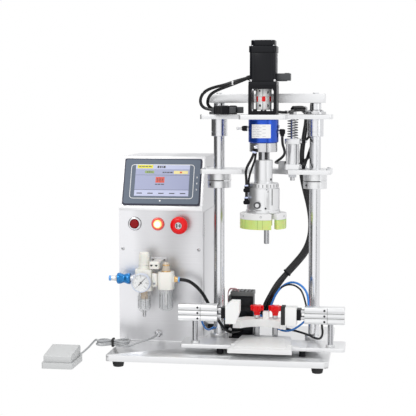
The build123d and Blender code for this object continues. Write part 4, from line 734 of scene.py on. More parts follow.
# ---------------------------------------------------------------- air unit
AIR_Y, AIR_HEIGHT, FILTER_X, LUBE_X = 47, 180, -273, -223
unit = Piece("air_unit")
unit.slab(cream_plastic, at(FILTER_X, AIR_Y, 178.5), (37.6, 37.6, 48.6), 0.8, corner=7)
unit.slab(cream_plastic, at(FILTER_X, AIR_Y, 159), (34, 34, 9.6), 0.8, corner=10)
for a in (-12, -6, 0, 6, 12):
    unit.slab(cream_plastic, at(FILTER_X + a, AIR_Y - 18.9, 194), (1.4, 0.9, 13), 0.3)
unit.turned(cream_plastic, at(FILTER_X, AIR_Y, 202.6), UP,
            [(0, 0), (13.4, 0), (13.4, 3.6), (12.6, 4.2), (12.6, 9.2), (0, 9.2)], 40)
unit.slab(cream_plastic, at(LUBE_X, AIR_Y, 178), (34.6, 34.6, 39.6), 0.8, corner=9)
unit.turned(cream_plastic, at(LUBE_X, AIR_Y, 157.9), UP,
            [(0, 0), (16.8, 0), (17.2, 1), (17.2, 8), (0, 8)], 48)
unit.turned(cream_plastic, at(FILTER_X - 18.6, AIR_Y, AIR_HEIGHT), LEFT,
            [(0, 0), (10.5, 0), (10.2, 2.6), (6, 3.2), (0, 3.2)], 32)
unit.turned(cream_plastic, at(LUBE_X + 17, AIR_Y, AIR_HEIGHT), RIGHT,
            [(0, 0), (10.5, 0), (10.2, 2.2), (6, 2.4), (0, 2.4)], 32)
unit.turned(machined_steel, at(FILTER_X, AIR_Y - 18.6, 167), FRONT,
            [(0, 0), (6.9, 0), (6.9, 3.2), (0, 3.2)], 24)
unit.slab(cream_plastic, at(-247.25, AIR_Y - 1, 180), (13.4, 23.6, 25.6), 0.7, corner=2)
unit.slab(cream_plastic, at(-247.25, AIR_Y - 13.4, 180), (9.5, 3, 30), 0.7)
unit.screw(at(-247.25, AIR_Y - 14.9, 172), FRONT, 3, 2)
unit.turned(brass, at(LUBE_X, AIR_Y, 197.6), UP,
            [(0, 0), (10.6, 0), (10.6, 1.6), (9.8, 2.2), (0, 2.2)], 32)
unit.done("frame", "frl_bodies", slot="cream_plastic", crease=32)

arm = Piece("unit_bracket")
arm.slab(brushed_stainless, at(-247.5, 90.4, 199), (39.6, 2.8, 49.6), 0.4, corner=3, round_along=1)
arm.slab(cream_plastic, at(-247.5, 58.5, 217), (19.6, 61.5, 4), 0.6)
arm.slab(cream_plastic, at(-247.5, 40, 213), (21.8, 21.8, 16), 0.9, corner=3)
for side in (-1, 1):
    arm.turned(cream_plastic, at(-247.5 + side * 5.6, 29.1, 214), FRONT,
               [(0, 0), (4.4, 0), (4.4, 0.7), (3.0, 0.9), (3.0, 0.2), (0, 0.2)], 24)
    arm.turned(print_black, at(-247.5 + side * 5.6, 28.9, 214), FRONT, [(0, 0.15), (2.9, 0.15)], 20)
    arm.screw(at(-247.5 + side * 13, 89, 218), FRONT, 3.4, 2.4)
    arm.screw(at(-247.5 + side * 13, 89, 180), FRONT, 3.4, 2.4)
arm.done("frame", "frl_bracket", slot="cream_plastic")

RIB_START = 22.345354
bowls = Piece("air_bowls")
bowls.turned(clear_bowl, at(FILTER_X, AIR_Y, 105), UP,
             [(3.6, 0.2), (8, 0.6), (11.6, 2.4), (13.4, 5), (14.4, 9), (14.4, 40), (13.7, 40.6),
              (13.7, 48.8), (12.2, 48.8),
              (12.4, 10), (11.6, 6.4), (9.6, 4.2), (6, 3), (3.6, 2.8)], 48)
bowls.turned(clear_bowl, at(LUBE_X, AIR_Y, 108), UP,
             [(0, 0.2), (8, 0.5), (12.4, 2.4), (14.6, 5.4), (15.4, 10), (15.4, 49.8), (13.4, 49.8),
              (13.4, 10), (12.4, 6.6),
              (10.4, 4.2), (6, 3), (0, 2.8)], 48)
# ribs round the bowls, dark as painted dark edges of clear plastic
for turn in range(8):
    spoke = swung(RIGHT, FRONT, 45 * turn + RIB_START)
    bowls.slab(bowl_edge, at(FILTER_X, AIR_Y, 128) + spoke * 0.0144, (1.2, 1.2, 28), 0.3)
    bowls.slab(bowl_edge, at(LUBE_X, AIR_Y, 132) + spoke * 0.0154, (1.2, 1.2, 34), 0.3)
bowls.turned(machined_steel, at(FILTER_X, AIR_Y, 105), DOWN,
             [(0, -2.6), (4.4, -2.6), (4.4, 1), (3.6, 2), (3.6, 6), (4.2, 6.4), (4.2, 8.6),
              (2.8, 9.2), (2.6, 11.8), (0, 11.8)], 24)
for row in range(6):
    bowls.turned(amber_element, at(FILTER_X, AIR_Y, 135.2 + row * 3.1), UP,
                 [(0, 0), (7.0, 0), (7.9, 0.8), (7.9, 2.4), (7.0, 3.1), (0, 3.1)], 32)
bowls.turned(white_nylon, at(FILTER_X, AIR_Y, 130.9), UP,
             [(0, 0), (10.8, 0), (11.2, 2.2), (10.4, 3.8), (4, 4.1), (0, 4.1)], 40)
bowls.turned(white_nylon, at(LUBE_X, AIR_Y, 118.2), UP,
             [(0, 0), (2.2, 0), (2.4, 39), (4.6, 39.3), (0, 39.3)], 20)
bowls.turned(machined_steel, at(LUBE_X, AIR_Y, 118.2), UP, [(0, -1.4), (3, -1.4), (3, 3), (0, 3)],
             20)
bowls.turned(sight_dome, at(LUBE_X, AIR_Y, 199.8), UP,
             [(0, 0), (9.6, 0), (9.6, 3), (7.9, 5), (7.9, 13), (6.6, 17), (4.6, 19.4), (0, 19.9)],
             32)
bowls.turned(brass, at(LUBE_X, AIR_Y, 206), UP, [(0, 0), (3, 0), (3, 9), (0, 9)], 20)
bowls.turned(brass, at(LUBE_X, AIR_Y, 211.4), UP, [(8.05, 0), (8.2, 0.2), (8.2, 2.4), (7.6, 2.6)],
             32)
bowls.done("frame", "frl_bowls", slot="clear_bowl", crease=35)

knob = Piece("pressure_knob")
knob.turned(cream_plastic, at(FILTER_X, AIR_Y, 212.2), UP,
            [(0, 0), (12.9, 0), (12.9, 2.6), (11.2, 3.4), (10.9, 25), (10, 27.6), (8.4, 28.6),
             (0, 28.8)], 48)
for turn in range(28):
    angle = 360 * turn / 28
    spoke = swung(RIGHT, BACK, angle)
    knob.slab(cream_plastic, at(FILTER_X, AIR_Y, 226.6) + spoke * 0.0110, (1.6, 1.3, 22), 0.35,
              turn=round_about(UP, angle))
knob.done("regulator", "regulator_knob", slot="cream_plastic")

GAUGE_HEIGHT, DIAL_SWEEP = 176.5, 270
GAUGE_BACK = at(FILTER_X, 25, GAUGE_HEIGHT)
gauge = Piece("pressure_gauge")
gauge.turned(gauge_rim, GAUGE_BACK, FRONT,
             [(0, 0), (18.4, 0), (20.6, 1.2), (21.4, 3), (21.4, 18.6), (20.9, 20.4), (20.0, 20.9),
              (19.6, 20.2), (19.4, 17)], 64)
gauge.turned(paper_white, GAUGE_BACK, FRONT, [(19.4, 17), (1.4, 17), (1.1, 18.4), (0, 18.5)], 64)
for mark in range(31):
    angle = -45 + DIAL_SWEEP * mark / 30
    spoke = swung(RIGHT, UP, angle)
    long = mark % 5 == 0
    gauge.slab(print_black, at(FILTER_X, 7.9, GAUGE_HEIGHT) + spoke * (0.0160 if long else 0.0168),
               (3.6 if long else 2.0, 0.2, 0.75 if long else 0.4), 0,
               turn=round_about(BACK, -angle))
for number in range(7):
    angle = 225 - DIAL_SWEEP * number / 6
    figure = bpy.data.curves.new("figure", "FONT")
    figure.body, figure.size, figure.extrude = str(number * 2), 0.0042, 0.00005
    figure.align_x, figure.align_y = "CENTER", "CENTER"
    held = bpy.data.objects.new("figure", figure)
    bpy.context.scene.collection.objects.link(held)
    mesh = bpy.data.meshes.new_from_object(held)
    bit = bmesh.new()
    bit.from_mesh(mesh)
    spot = at(FILTER_X, 7.95, GAUGE_HEIGHT) + swung(RIGHT, UP, angle) * 0.0118
    bmesh.ops.transform(bit, matrix=Matrix.Translation(spot) @ round_about(RIGHT, 90),
                        verts=bit.verts)
    gauge.take(bit, print_black, weld=False)
    bpy.data.objects.remove(held)
    bpy.data.meshes.remove(mesh)
gauge.turned(gauge_glass, GAUGE_BACK, FRONT, [(0, 20.1), (12, 20.0), (19.5, 19.6), (19.5, 19.1),
                                              (0, 19.4)], 48)
gauge.done("frame", "gauge_case", slot="gauge_white")

NEEDLE_ANGLE = 48
needle = Piece("gauge_pointer")
needle_along = swung(RIGHT, UP, NEEDLE_ANGLE)
needle.prism(print_black, [(-8, -1.1), (-2.4, -1.0), (2, -0.9), (15, -0.2), (15, 0.2), (2, 0.9),
                           (-2.4, 1.0), (-8, 1.1)],
             at(FILTER_X, 7.35, GAUGE_HEIGHT), needle_along, needle_along.cross(FRONT) * -1, 0.5)
needle.turned(print_black, at(FILTER_X, 7.5, GAUGE_HEIGHT), FRONT,
              [(0, 0), (2.6, 0), (2.4, 0.9), (1, 1.2), (0, 1.2)], 24)
needle.done("gauge_needle", "gauge_needle", slot="black_rubber")

fittings = Piece("air_fittings_set")
fittings.turned(machined_steel, at(-295, AIR_Y, AIR_HEIGHT), LEFT,
                [(0, 0), (8.4, 0), (8.4, 3), (6.9, 3.6), (6.9, 41), (6, 42), (0, 42)], 32)
fittings.turned(machined_steel, at(-335.2, AIR_Y, AIR_HEIGHT), LEFT,
                [(0, 0), (7.4, 0), (7.8, 0.6), (7.8, 3), (5.9, 3.6), (5.9, 9.4), (0, 9.4)], 6)
fittings.turned(polished_steel, at(-336, AIR_Y, AIR_HEIGHT), LEFT,
                [(0, 4), (5.9, 4), (5.9, 11), (5.5, 12.4), (0, 12.4)], 28)
fittings.turned(collet_blue, at(-345, AIR_Y, AIR_HEIGHT), LEFT,
                [(4.2, 2), (5.5, 2), (5.5, 6), (6.2, 6.4), (6.2, 8.6), (5.8, 9), (4.2, 9),
                 (4.2, 2)], 28)
fittings.turned(dark_hole, at(-347.4, AIR_Y, AIR_HEIGHT), LEFT,
                [(0, 0), (4.15, 0), (4.15, 0.4), (0, 0.4)], 20)
fittings.turned(brass, at(-203.5, AIR_Y, AIR_HEIGHT), RIGHT,
                [(0, 0), (7, 0), (7, 4), (6, 4.6), (0, 4.6)], 6)
fittings.turned(brass, at(-203.5, AIR_Y, AIR_HEIGHT), RIGHT,
                [(0, 4), (5.9, 4), (5.9, 7.4), (5.4, 8), (0, 8)], 28)
fittings.turned(collet_blue, at(-203.5, AIR_Y, AIR_HEIGHT), RIGHT,
                [(0, 8), (5.8, 8), (6.4, 8.8), (6.4, 11.4), (5.6, 12), (0, 12)], 28)
fittings.done("frame", "air_fittings", slot="polished_steel")

sleeve = Piece("slide_valve")
sleeve.turned(valve_blue, at(-335, AIR_Y, AIR_HEIGHT), RIGHT,
              [(7.1, 0), (10.8, 0), (12, 0.8), (12.5, 2.6), (12.4, 6), (11.9, 9), (10.8, 12),
               (10.1, 14.4), (10.1, 16.6),
               (10.8, 19), (11.9, 22), (12.4, 25), (12.5, 28.4), (12, 30.2), (10.8, 31), (7.1, 31)],
              56)
for turn in range(24):
    for far in (4.4, 26.6):
        angle = 360 * turn / 24
        sleeve.slab(valve_blue, at(-335 + far, AIR_Y, AIR_HEIGHT) + swung(BACK, UP, angle) * 0.0122,
                    (5.2, 0.8, 1.1), 0.2, turn=round_about(RIGHT, angle))
sleeve.done("slide_valve", "slide_valve_sleeve", slot="blue_anodised", crease=35)

# ---------------------------------------------------------------- columns and plates
COLUMNS, COLUMN_FOOT = ((-107, 80), (107, 80)), 28.5
posts = Piece("guide_columns")
for x, y in COLUMNS:
    posts.turned(polished_steel, at(x, y, COLUMN_FOOT), UP,
                 [(0, 0), (12.5, 0), (12.5, 545.3), (11.7, 546.4), (0, 546.4)], 72)
posts.done("frame", "columns", slot="polished_steel")

collars = Piece("column_collars_set")
for x, y in COLUMNS:
    collars.turned(satin_aluminium, at(x, y, COLUMN_FOOT), UP,
                   [(12.6, 0), (20, 0), (20, 26), (19.2, 27.4), (18.4, 27.9), (12.6, 27.9)], 56)
    for height, tall in ((386.1, 15.7), (403.4, 15.5)):
        collars.turned(satin_aluminium, at(x, y, height), UP,
                       [(12.6, 0), (25.7, 0), (26.4, 0.7), (26.4, tall - 0.7), (25.9, tall),
                        (12.6, tall)], 64)
    collars.turned(dark_hole, at(x, y, 401.6), UP, [(12.6, 0), (25.2, 0), (25.2, 2), (12.6, 2)], 48)
    collars.slab(satin_aluminium, at(x + 13, y + 2, 402.6), (24, 47, 2), 0.1)
    collars.turned(dark_hole, at(x - 17, y - 20.6, 394), FRONT,
                   [(0, 0), (2.9, 0), (2.9, 0.9), (2.2, 0.9), (2.2, 0.2), (0, 0.2)], 20)
collars.done("frame", "column_collars", slot="satin_aluminium")

for name, node, body, ease in (("top_tie_bar", "tie_bar", "frame", 0.5),
                               ("middle_plate", "mid_plate", "frame", 0.5),
                               ("head_plate", "top_plate", "head", 0.5),
                               ("bottle_table", "table_plate", "frame", 0.35)):
    plate = Piece(name)
    plate.copied(node, plate_aluminium, ease)
    if node == "table_plate":
        for x in (-92, 88):
            for y in (-15, 40):
                plate.turned(black_anodised, at(x, y, 28.6), UP,
                             [(0, 0), (7.3, 0), (7.3, 12.9), (0, 12.9)], 32)
    if node == "mid_plate":
        plate.slab(grey_white, at(33.6, 61.9, 438), (12.4, 0.7, 17), 0.2)
        plate.slab(print_black, at(41.2, 67, 438), (0.9, 11, 17), 0.2)
    plate.done(body, node, slot="satin_aluminium")

heads = Piece("frame_screw_heads")
for x, y in COLUMNS:
    heads.screw(at(x, y, 595.1), UP, 6.5, 2)
    heads.turned(zinc_screw, at(x, y, 595.1), DOWN, [(0, 0), (4, 0), (4, 19), (0, 19)], 20)
    heads.turned(zinc_screw, at(x, y, 23), DOWN,
                 [(0, 0), (6.4, 0), (6.4, 7), (5.9, 7.5), (3.6, 7.5), (3.6, 3.5), (0, 3.5)], 24)
for x in (-332, -156):
    heads.turned(machined_steel, at(x, 92, 242), FRONT,
                 [(0, -5), (2, -5), (2, 0), (4, 0), (3.6, 1.2), (2.4, 2.2), (0, 2.5)], 24)
    heads.slab(dark_hole, at(x, 89.6, 242), (0.7, 0.5, 4.4), 0, turn=round_about(BACK, 25))
    heads.slab(dark_hole, at(x, 89.6, 242), (4.4, 0.5, 0.7), 0, turn=round_about(BACK, 25))
for x, y in ((-136, 44), (-136, 116), (136, 44), (136, 116)):
    heads.screw(at(x, y, 429.1), UP, 3.6, 2.2)
heads.done("frame", "frame_screws", slot="zinc_screw")

bearings = Piece("linear_bushes")
for x, y in COLUMNS:
    bearings.turned(polished_steel, at(x, y, 501), UP,
                    [(12.7, 0), (17.2, 0), (18, 0.8), (18, 9), (17.6, 9.4), (17.6, 11), (18, 11.4),
                     (18, 38.2), (12.7, 38.2)], 64)
    bearings.turned(machined_steel, at(x, y, 549.7), UP,
                    [(12.7, 0), (22.4, 0), (23, 0.6), (23, 5.2), (22.4, 5.9), (18, 6), (17.6, 8.6),
                     (16.4, 9), (12.7, 9)], 64)
    bearings.turned(black_rubber, at(x, y, 558.4), UP,
                    [(12.7, 0), (15.2, 0), (14.8, 1.1), (12.7, 1.1)], 40)
    for turn in (45, 135, 225, 315):
        spoke = swung(RIGHT, BACK, turn)
        bearings.screw(at(x, y, 555.6) + spoke * 0.0200, UP, 2.6, 2.6)
bearings.done("head", "linear_bearings", slot="polished_steel")

rods = Piece("head_rods_set")
rods.turned(turned_steel, at(0, 78, 261), UP, [(0, 0), (5.2, 0), (6, 0.8), (6, 290), (0, 290)], 32)
rods.turned(machined_steel, at(59, 52, 463), UP, [(0, 0), (5, 0), (5, 76), (0, 76)], 24)
rods.turned(machined_steel, at(59, 52, 549.6), UP, [(0, 0), (8.9, 0), (8.9, 5.8), (0, 5.8)], 6)
rods.turned(machined_steel, at(0, 78, 549.6), UP,
            [(0, 0), (8.5, 0), (8.5, 2.8), (7.8, 3.4), (0, 3.4)], 28)
rods.done("head", "head_rods", slot="polished_steel")

# ---------------------------------------------------------------- lift cylinder and spring
lift = Piece("lift_air_cylinder")
CYLINDER = (59, 52)
for height in (435.1, 491):
    lift.slab(satin_aluminium, at(*CYLINDER, height), (33, 33, 12), 0.5, corner=3.5)
    for sx, sy in CORNERS:
        lift.turned(dark_hole, at(CYLINDER[0] + sx * 11.5, CYLINDER[1] + sy * 11.5,
                                  height + (6 if height > 460 else -5.6)), UP,
                    [(0, 0.05), (2.6, 0.05), (2.6, 0)], 16)
lift.turned(satin_aluminium, at(*CYLINDER, 441), UP, [(6, 0), (13.5, 0), (13.5, 44.2), (6, 44.2)],
            56)
for sx, sy in CORNERS:
    lift.turned(machined_steel, at(CYLINDER[0] + sx * 11.5, CYLINDER[1] + sy * 11.5, 441), UP,
                [(0, 0), (2.4, 0), (2.4, 44.2), (0, 44.2)], 16)
lift.turned(machined_steel, at(*CYLINDER, 405), UP,
            [(0, 0), (4.6, 0), (5, 0.6), (5, 13.8), (0, 13.8)], 24)
lift.turned(zinc_screw, at(*CYLINDER, 412), UP,
            [(5, 0), (8.6, 0), (9, 0.5), (9, 6.4), (8.6, 6.9), (5, 6.9)], 6)
for height in (435, 491):
    lift.turned(machined_steel, at(75.5, 48, height), RIGHT,
                [(0, 0), (5, 0), (5, 4), (4, 4.6), (0, 4.6)], 6)
    lift.turned(black_anodised, at(75.5, 48, height), RIGHT,
                [(0, 4.6), (4.7, 4.6), (4.7, 9), (4, 9.6), (4, 12), (0, 12)], 28)
    lift.turned(black_anodised, at(83.5, 48, height), BACK,
                [(0, 0), (3.8, 0), (3.8, 7), (3.2, 9), (0, 9)], 24)
    lift.turned(zinc_screw, at(87.4, 48, height), RIGHT,
                [(0, 0), (2.6, 0), (2.6, 2.6), (2.1, 3), (0, 3)], 20)
lift.done("frame", "lift_cylinder", slot="satin_aluminium")

spring_line = []
turns, start_height, end_height = 7, 498.6, 538.2
for step in range(turns * 12 + 1):
    angle = 2 * pi * step / 12
    share = step / (turns * 12)
    spring_line.append(at(CYLINDER[0] + 11.3 * cos(angle), CYLINDER[1] + 11.3 * sin(angle),
                          start_height + (end_height - start_height) * share))
spring = Piece("return_spring")
spring.hose(spring_steel, spring_line, 1.15, sides=2, steps=3)
coil = spring.done(None, "lift_spring", slot="polished_steel", crease=60)
at(*CYLINDER, 497.4)
at(*CYLINDER, 539.4)
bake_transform(coil)

# ---------------------------------------------------------------- motor, its housing and leads
housing = Piece("drive_housing")
housing.copied("coupling_housing", black_anodised, 0.5)
for sx, sy in CORNERS:
    housing.screw(at(sx * 21, sy * 25.2, 557.6), UP, 3.4, 4)
    housing.turned(machined_steel, at(sx * 21, sy * 25.2, 604), DOWN,
                   [(0, 0), (3.2, 0), (3.2, 3), (0, 3)], 20)
housing.slab(black_anodised, at(0, 0, 551.8), (59.4, 59.4, 0.8), 0.2)
housing.done("head", "coupling_housing", slot="black_anodised")

motor = Piece("drive_motor")
motor.slab(motor_black, at(0, 0, 615.9), (60, 60, 7.6), 0.5, corner=3)
motor.slab(motor_black, at(0, 0, 650.4), (56, 56, 61.2), 0.5, corner=8)
for turn in range(4):
    motor.slab(motor_black, at(0, 0, 650.4) + round_about(UP, 90 * turn) @ Vector((0, -0.0278, 0)),
               (34, 1.2, 58), 0.5,
               turn=round_about(UP, 90 * turn))
motor.slab(motor_black, at(0, 0, 688), (59, 59, 13.8), 1.0, corner=9)
motor.slab(motor_black, at(0, 0, 680.6), (55, 55, 1.6), 0.3, corner=8)
motor.slab(motor_black, at(0, 0, 701), (51.5, 51.5, 12.6), 1.2, corner=12)
motor.slab(print_grey, at(0, -25.05, 706), (40, 0.4, 0.6), 0)
for sx, sy in CORNERS:
    motor.screw(at(sx * 25, sy * 25, 620), UP, 3.3, 4.2, machined_steel)
    motor.screw(at(sx * 22.5, sy * 22.5, 694.9), UP, 2.4, 1.6)
for number in range(3):
    motor.slab(machined_steel, at(28.6, 12 - number * 5, 664 + number * 8), (0.5, 3.4, 5), 0.1)
motor.done("head", "servo_motor", slot="motor_black")

leads = Piece("motor_lead_set")
PLUG_HEIGHT = 559.3
lead_a = [(-34, -6, 628), (-58, -8, 622), (-84, -6, 613), (-110, 3, 608), (-130, 14, 600),
          (-140, 22, 588),
          (-142, 27, 575), (-136, 28, 565), (-124, 26, PLUG_HEIGHT + 1.5), (-110, 24, PLUG_HEIGHT)]
lead_b = [(-34, 6, 628), (-58, 6, 618), (-84, 9, 609), (-106, 17, 601), (-120, 28, 593),
          (-127, 37, 582),
          (-128, 42, 571), (-121, 45, 563), (-109, 45, PLUG_HEIGHT + 1), (-96, 44, PLUG_HEIGHT)]
for line in (lead_a, lead_b):
    leads.hose(hose_black, spots(line), 3.4)
for y in (-6, 6):
    leads.turned(black_rubber, at(-34, y, 628), RIGHT,
                 [(0, -3), (3.6, -3), (4.2, -2.4), (4.2, -1), (5, -0.6), (5, 1), (4.4, 1.2),
                  (5.8, 2.4), (5.8, 5.7), (0, 5.7)], 28)
for x, y in ((-110, 24), (-96, 44)):
    leads.slab(black_anodised, at(x + 16, y, PLUG_HEIGHT), (34, 16, 18.6), 1.2, corner=4,
               round_along=0)
    for number in range(5):
        leads.slab(black_rubber, at(x + 4 + number * 3.2, y, PLUG_HEIGHT), (1.4, 16.6, 18.4), 0.4,
                   corner=4, round_along=0)
    leads.slab(plug_grey, at(x + 40, y, PLUG_HEIGHT), (14, 13, 14), 0.8, corner=3, round_along=0)
    leads.slab(black_anodised, at(x + 24, y, PLUG_HEIGHT + 9.2), (12, 7, 1.6), 0.5)
    leads.turned(plug_grey, at(x + 1, y, PLUG_HEIGHT), LEFT,
                 [(3.5, 0), (6.6, 0), (6.2, 4), (4.6, 6.6), (3.5, 7)], 24)
leads.slab(plug_grey, at(43.2, 0, 629.6), (29.6, 22, 15.4), 0.8, corner=3, round_along=0)
leads.slab(plug_grey, at(40, 0, 623), (20, 18, 4.6), 0.8)
leads.slab(black_rubber, at(29.4, 0, 629), (1.9, 20, 15), 0.4)
leads.slab(black_anodised, at(50, 0, 637.5), (10, 12, 1.4), 0.4)
for spot, bend in ((at(-66, -1, 616.8), 12), (at(-134, 26, 595), 55)):
    leads.slab(tie_white, spot, (2.6, 20, 8.8), 0.6, turn=round_about(BACK, bend), corner=3,
               round_along=0)
    leads.slab(tie_white, spot + Vector((0, -0.0106, 0.003)), (4, 3.4, 4), 0.6,
               turn=round_about(BACK, bend))
leads.hose(hose_black, spots(((27, 24, 556), (34, 34, 554.2), (45, 56, 554), (54, 78, 556),
                              (57, 93, 560))), 3.2)
leads.slab(tie_white, at(45, 56, 554.6), (7.6, 2.4, 7.6), 0.6, turn=round_about(UP, -28))
leads.done("head", "motor_leads", slot="hose_black")

shaft = Piece("drive_coupling")
for height in (560, 588):
    shaft.turned(white_nylon, at(0, 0, height), UP,
                 [(6.1, 0), (16.4, 0), (17, 0.6), (17, 17.4), (16.4, 18), (6.1, 18)], 56)
    shaft.turned(dark_hole, at(9, -14.2, height + 9), FRONT,
                 [(0, 0), (3.1, 0), (3.1, 0.35), (2.5, 0.35), (2.5, -0.2), (0, -0.2)], 20)
    shaft.slab(dark_hole, at(0, -16.0, height + 9), (1.0, 2.6, 18.1), 0)
shaft.turned(dark_hole, at(-6, -15.9, 569), FRONT, [(0, 0), (2.6, 0), (2.6, 0.6), (0, 0.6)], 20)
shaft.turned(dark_hole, at(-7, -15.6, 600), FRONT, [(0, 0), (1.9, 0), (1.9, 0.6), (0, 0.6)], 20)
shaft.turned(red_plastic, at(0, 0, 578.2), UP, [(6.1, 0), (15.9, 0), (15.9, 9.6), (6.1, 9.6)], 48)
for turn in range(6):
    spoke = swung(FRONT, RIGHT, 60 * turn + 6)
    shaft.slab(red_plastic, at(0, 0, 583) + spoke * 0.0155, (4.6, 2.8, 15), 0.4,
               turn=round_about(UP, 60 * turn + 6))
    spoke = swung(FRONT, RIGHT, 60 * turn + 36)
    shaft.slab(white_nylon, at(0, 0, 583) + spoke * 0.0152, (9, 2.8, 9.4), 0.3,
               turn=round_about(UP, 60 * turn + 36))
shaft.turned(machined_steel, at(0, 0, 586), UP, [(0, 0), (6, 0), (6, 25.7), (0, 25.7)], 28)
shaft.done("spindle", "shaft_coupling", slot="satin_aluminium")

# ---------------------------------------------------------------- rotary union and spindle
union = Piece("rotary_air_union")
union.turned(blue_anodised, at(0, 0, 490), UP,
             [(19.1, 0), (31, 0), (31.6, 0.3), (32.5, 1.5), (32.5, 47.6), (31.6, 49.2),
              (19.1, 49.4)], 96)
label = bmesh.new()
line = [label.verts.new(at(0, 0, 500) + swung(FRONT, RIGHT, a) * 0.03258) for a in range(-44, 35,
        3)]
edges = [label.edges.new(pair) for pair in zip(line, line[1:])]
raised = bmesh.ops.extrude_edge_only(label, edges=edges)
bmesh.ops.translate(label, vec=UP * 0.029, verts=[v for v in raised["geom"] if isinstance(v,
        bmesh.types.BMVert)])
bmesh.ops.solidify(label, geom=label.faces[:], thickness=0.0001)
union.take(label, paper_white)
for row in range(7):
    for first, last in ((-40, -24), (-20, -2)) if row % 2 else ((-40, -30), (-26, -10), (2, 14)):
        middle = (first + last) / 2
        spoke = swung(FRONT, RIGHT, middle)
        union.slab(print_grey, at(0, 0, 503.4 + row * 3.7) + spoke * 0.03265,
                   (32.6 * radians(last - first), 0.16, 0.75), 0,
                   turn=round_about(UP, middle))
for side, height in ((-1, 520), (1, 513)):
    along = RIGHT * side
    union.turned(machined_steel, at(side * 31.6, 0, height), along,
                 [(0, 0), (5, 0), (5, 3.6), (0, 3.6)], 6)
    union.turned(black_anodised, at(side * 31.6, 0, height), along,
                 [(0, 3.6), (5.9, 3.6), (5.9, 11), (5.2, 13.8), (4.4, 14.9), (0, 14.9)], 28)
union.turned(grey_white, at(-46.4, 0, 520), LEFT,
             [(0, 0), (3.6, 0), (3.6, 2), (2.4, 3), (2.4, 6), (3.2, 7), (3.2, 11), (1.8, 12.6),
              (0, 12.8)], 20)
union.turned(black_anodised, at(40.5, 0, 513), DOWN, [(0, 0), (4.6, 0), (4.6, 7), (4, 10), (0, 10)],
             24)
union.turned(print_grey, at(32.4, -6, 524), RIGHT, [(0, 0), (3.4, 0), (3.4, 2.2), (0, 2.2)], 20)
union.done("head", "rotary_union", slot="blue_anodised")

quill = Piece("spindle_quill")
quill.turned(turned_steel, at(0, 0, 403), UP, [(0, 0), (11, 0), (11, 138), (6, 138), (6, 174),
                                               (0, 174)], 48)
quill.turned(satin_aluminium, at(0, 0, 403), UP,
             [(11.1, 0), (20, 0), (20, 4), (19.6, 4.4), (19.6, 5.6), (20, 6), (20, 48.8),
              (19, 49.9), (11.1, 49.9)], 72)
quill.turned(dark_hole, at(17.2, -9.8, 411), Vector((0.87, -0.5, 0)),
             [(0, 0), (2.4, 0), (2.4, 0.6), (0, 0.6)], 20)
quill.slab(print_black, at(7.5, -10, 463), (5, 4.6, 19), 0.6)
quill.done("spindle", "spindle_shaft", slot="satin_aluminium")

rotor = Piece("rotor_ring")
rotor.turned(machined_steel, at(0, 0, 470), UP,
             [(11.1, 0), (29, 0), (30, 1), (30, 18.8), (29.2, 19.7), (19, 19.7), (19, 66.8),
              (11.1, 66.8)], 72)
rotor.slab(dark_hole, at(9.4, -28.4, 480), (0.9, 2.4, 19), 0.1, turn=round_about(UP, 18))
rotor.turned(polished_steel, at(-12, -26, 480), Vector((-0.42, -0.9, 0)),
             [(0, 0), (5, 0), (5, 4.6), (4.7, 6.4), (3.6, 8.4), (2, 9.5), (0, 9.9)], 32)
rotor.turned(machined_steel, at(-12, -26, 480), Vector((-0.42, -0.9, 0)),
             [(5, 1), (5.6, 1), (5.6, 3.4), (5, 3.4)], 6)
elbow_way = Vector((-0.25, -0.05, -0.96))
rotor.turned(black_anodised, at(-14, -30, 480), elbow_way,
             [(0, 0), (4.5, 0), (4.8, 1), (4.8, 8.4), (4.5, 8.6), (0, 8.6)], 28)
rotor.turned(ring_lilac, at(-14, -30, 480), elbow_way,
             [(3.2, 8.6), (4.7, 8.6), (4.8, 9.4), (4.4, 11.9), (3.2, 11.9)], 28)
rotor.done("spindle", "rotor_flange", slot="satin_aluminium")

gripper = Piece("cap_gripper")
gripper.turned(satin_aluminium, at(0, 0, 339), UP,
               [(0, 0), (36.4, 0), (37, 0.6), (37, 5.6), (35.5, 7), (35.5, 52.2), (34.9, 52.8),
                (0, 52.8)], 96)
gripper.turned(satin_aluminium, at(0, 0, 391.8), UP,
               [(0, 0), (32.4, 0), (33, 0.6), (33, 10.4), (32.2, 11.2), (0, 11.2)], 96)
for turn in range(24):
    spoke = swung(FRONT, RIGHT, 15 * turn + 4)
    gripper.slab(relay_grey if turn % 3 else dark_hole, at(0, 0, 397.5) + spoke * 0.03295,
                 (1.3, 0.5, 6.4), 0, turn=round_about(UP, 15 * turn + 4))
# dark upright strips on the body: painted dark reflection lines
for angle in (-72, -52, 30, 150, 200):
    spoke = swung(RIGHT, BACK, angle)
    gripper.slab(relay_grey, at(0, 0, 374) + spoke * 0.0352, (0.9, 2.2, 35), 0,
                 turn=round_about(UP, angle))
gripper.slab(satin_aluminium, at(9.8, -34.2, 372), (6, 3, 35), 0.4, turn=round_about(UP, 16))
for a, height in ((14, 350), (20, 386)):
    spoke = swung(FRONT, RIGHT, a)
    gripper.turned(dark_hole, at(0, 0, height) + spoke * 0.0354, spoke,
                   [(0, 0), (2.2, 0), (2.2, 0.4), (0, 0.4)], 18)
gripper.turned(plug_grey, at(-9, -32.5, 357), FRONT,
               [(0, 0), (7, 0), (7, 8.4), (5.8, 9.8), (4.4, 10), (4.4, 8.6), (0, 8.6)], 32)
gripper.turned(machined_steel, at(-9, -42.3, 357), FRONT,
               [(0, -0.9), (4.4, -0.9), (4.4, -0.1), (3.6, 0.1), (0, 0.2)], 24)
for turn in range(22):
    angle = 360 * turn / 22
    gripper.slab(plug_grey, at(-9, -37, 357) + swung(RIGHT, UP, angle) * 0.007, (0.9, 7.2, 0.8),
                 0.1,
                 turn=round_about(BACK, -angle))
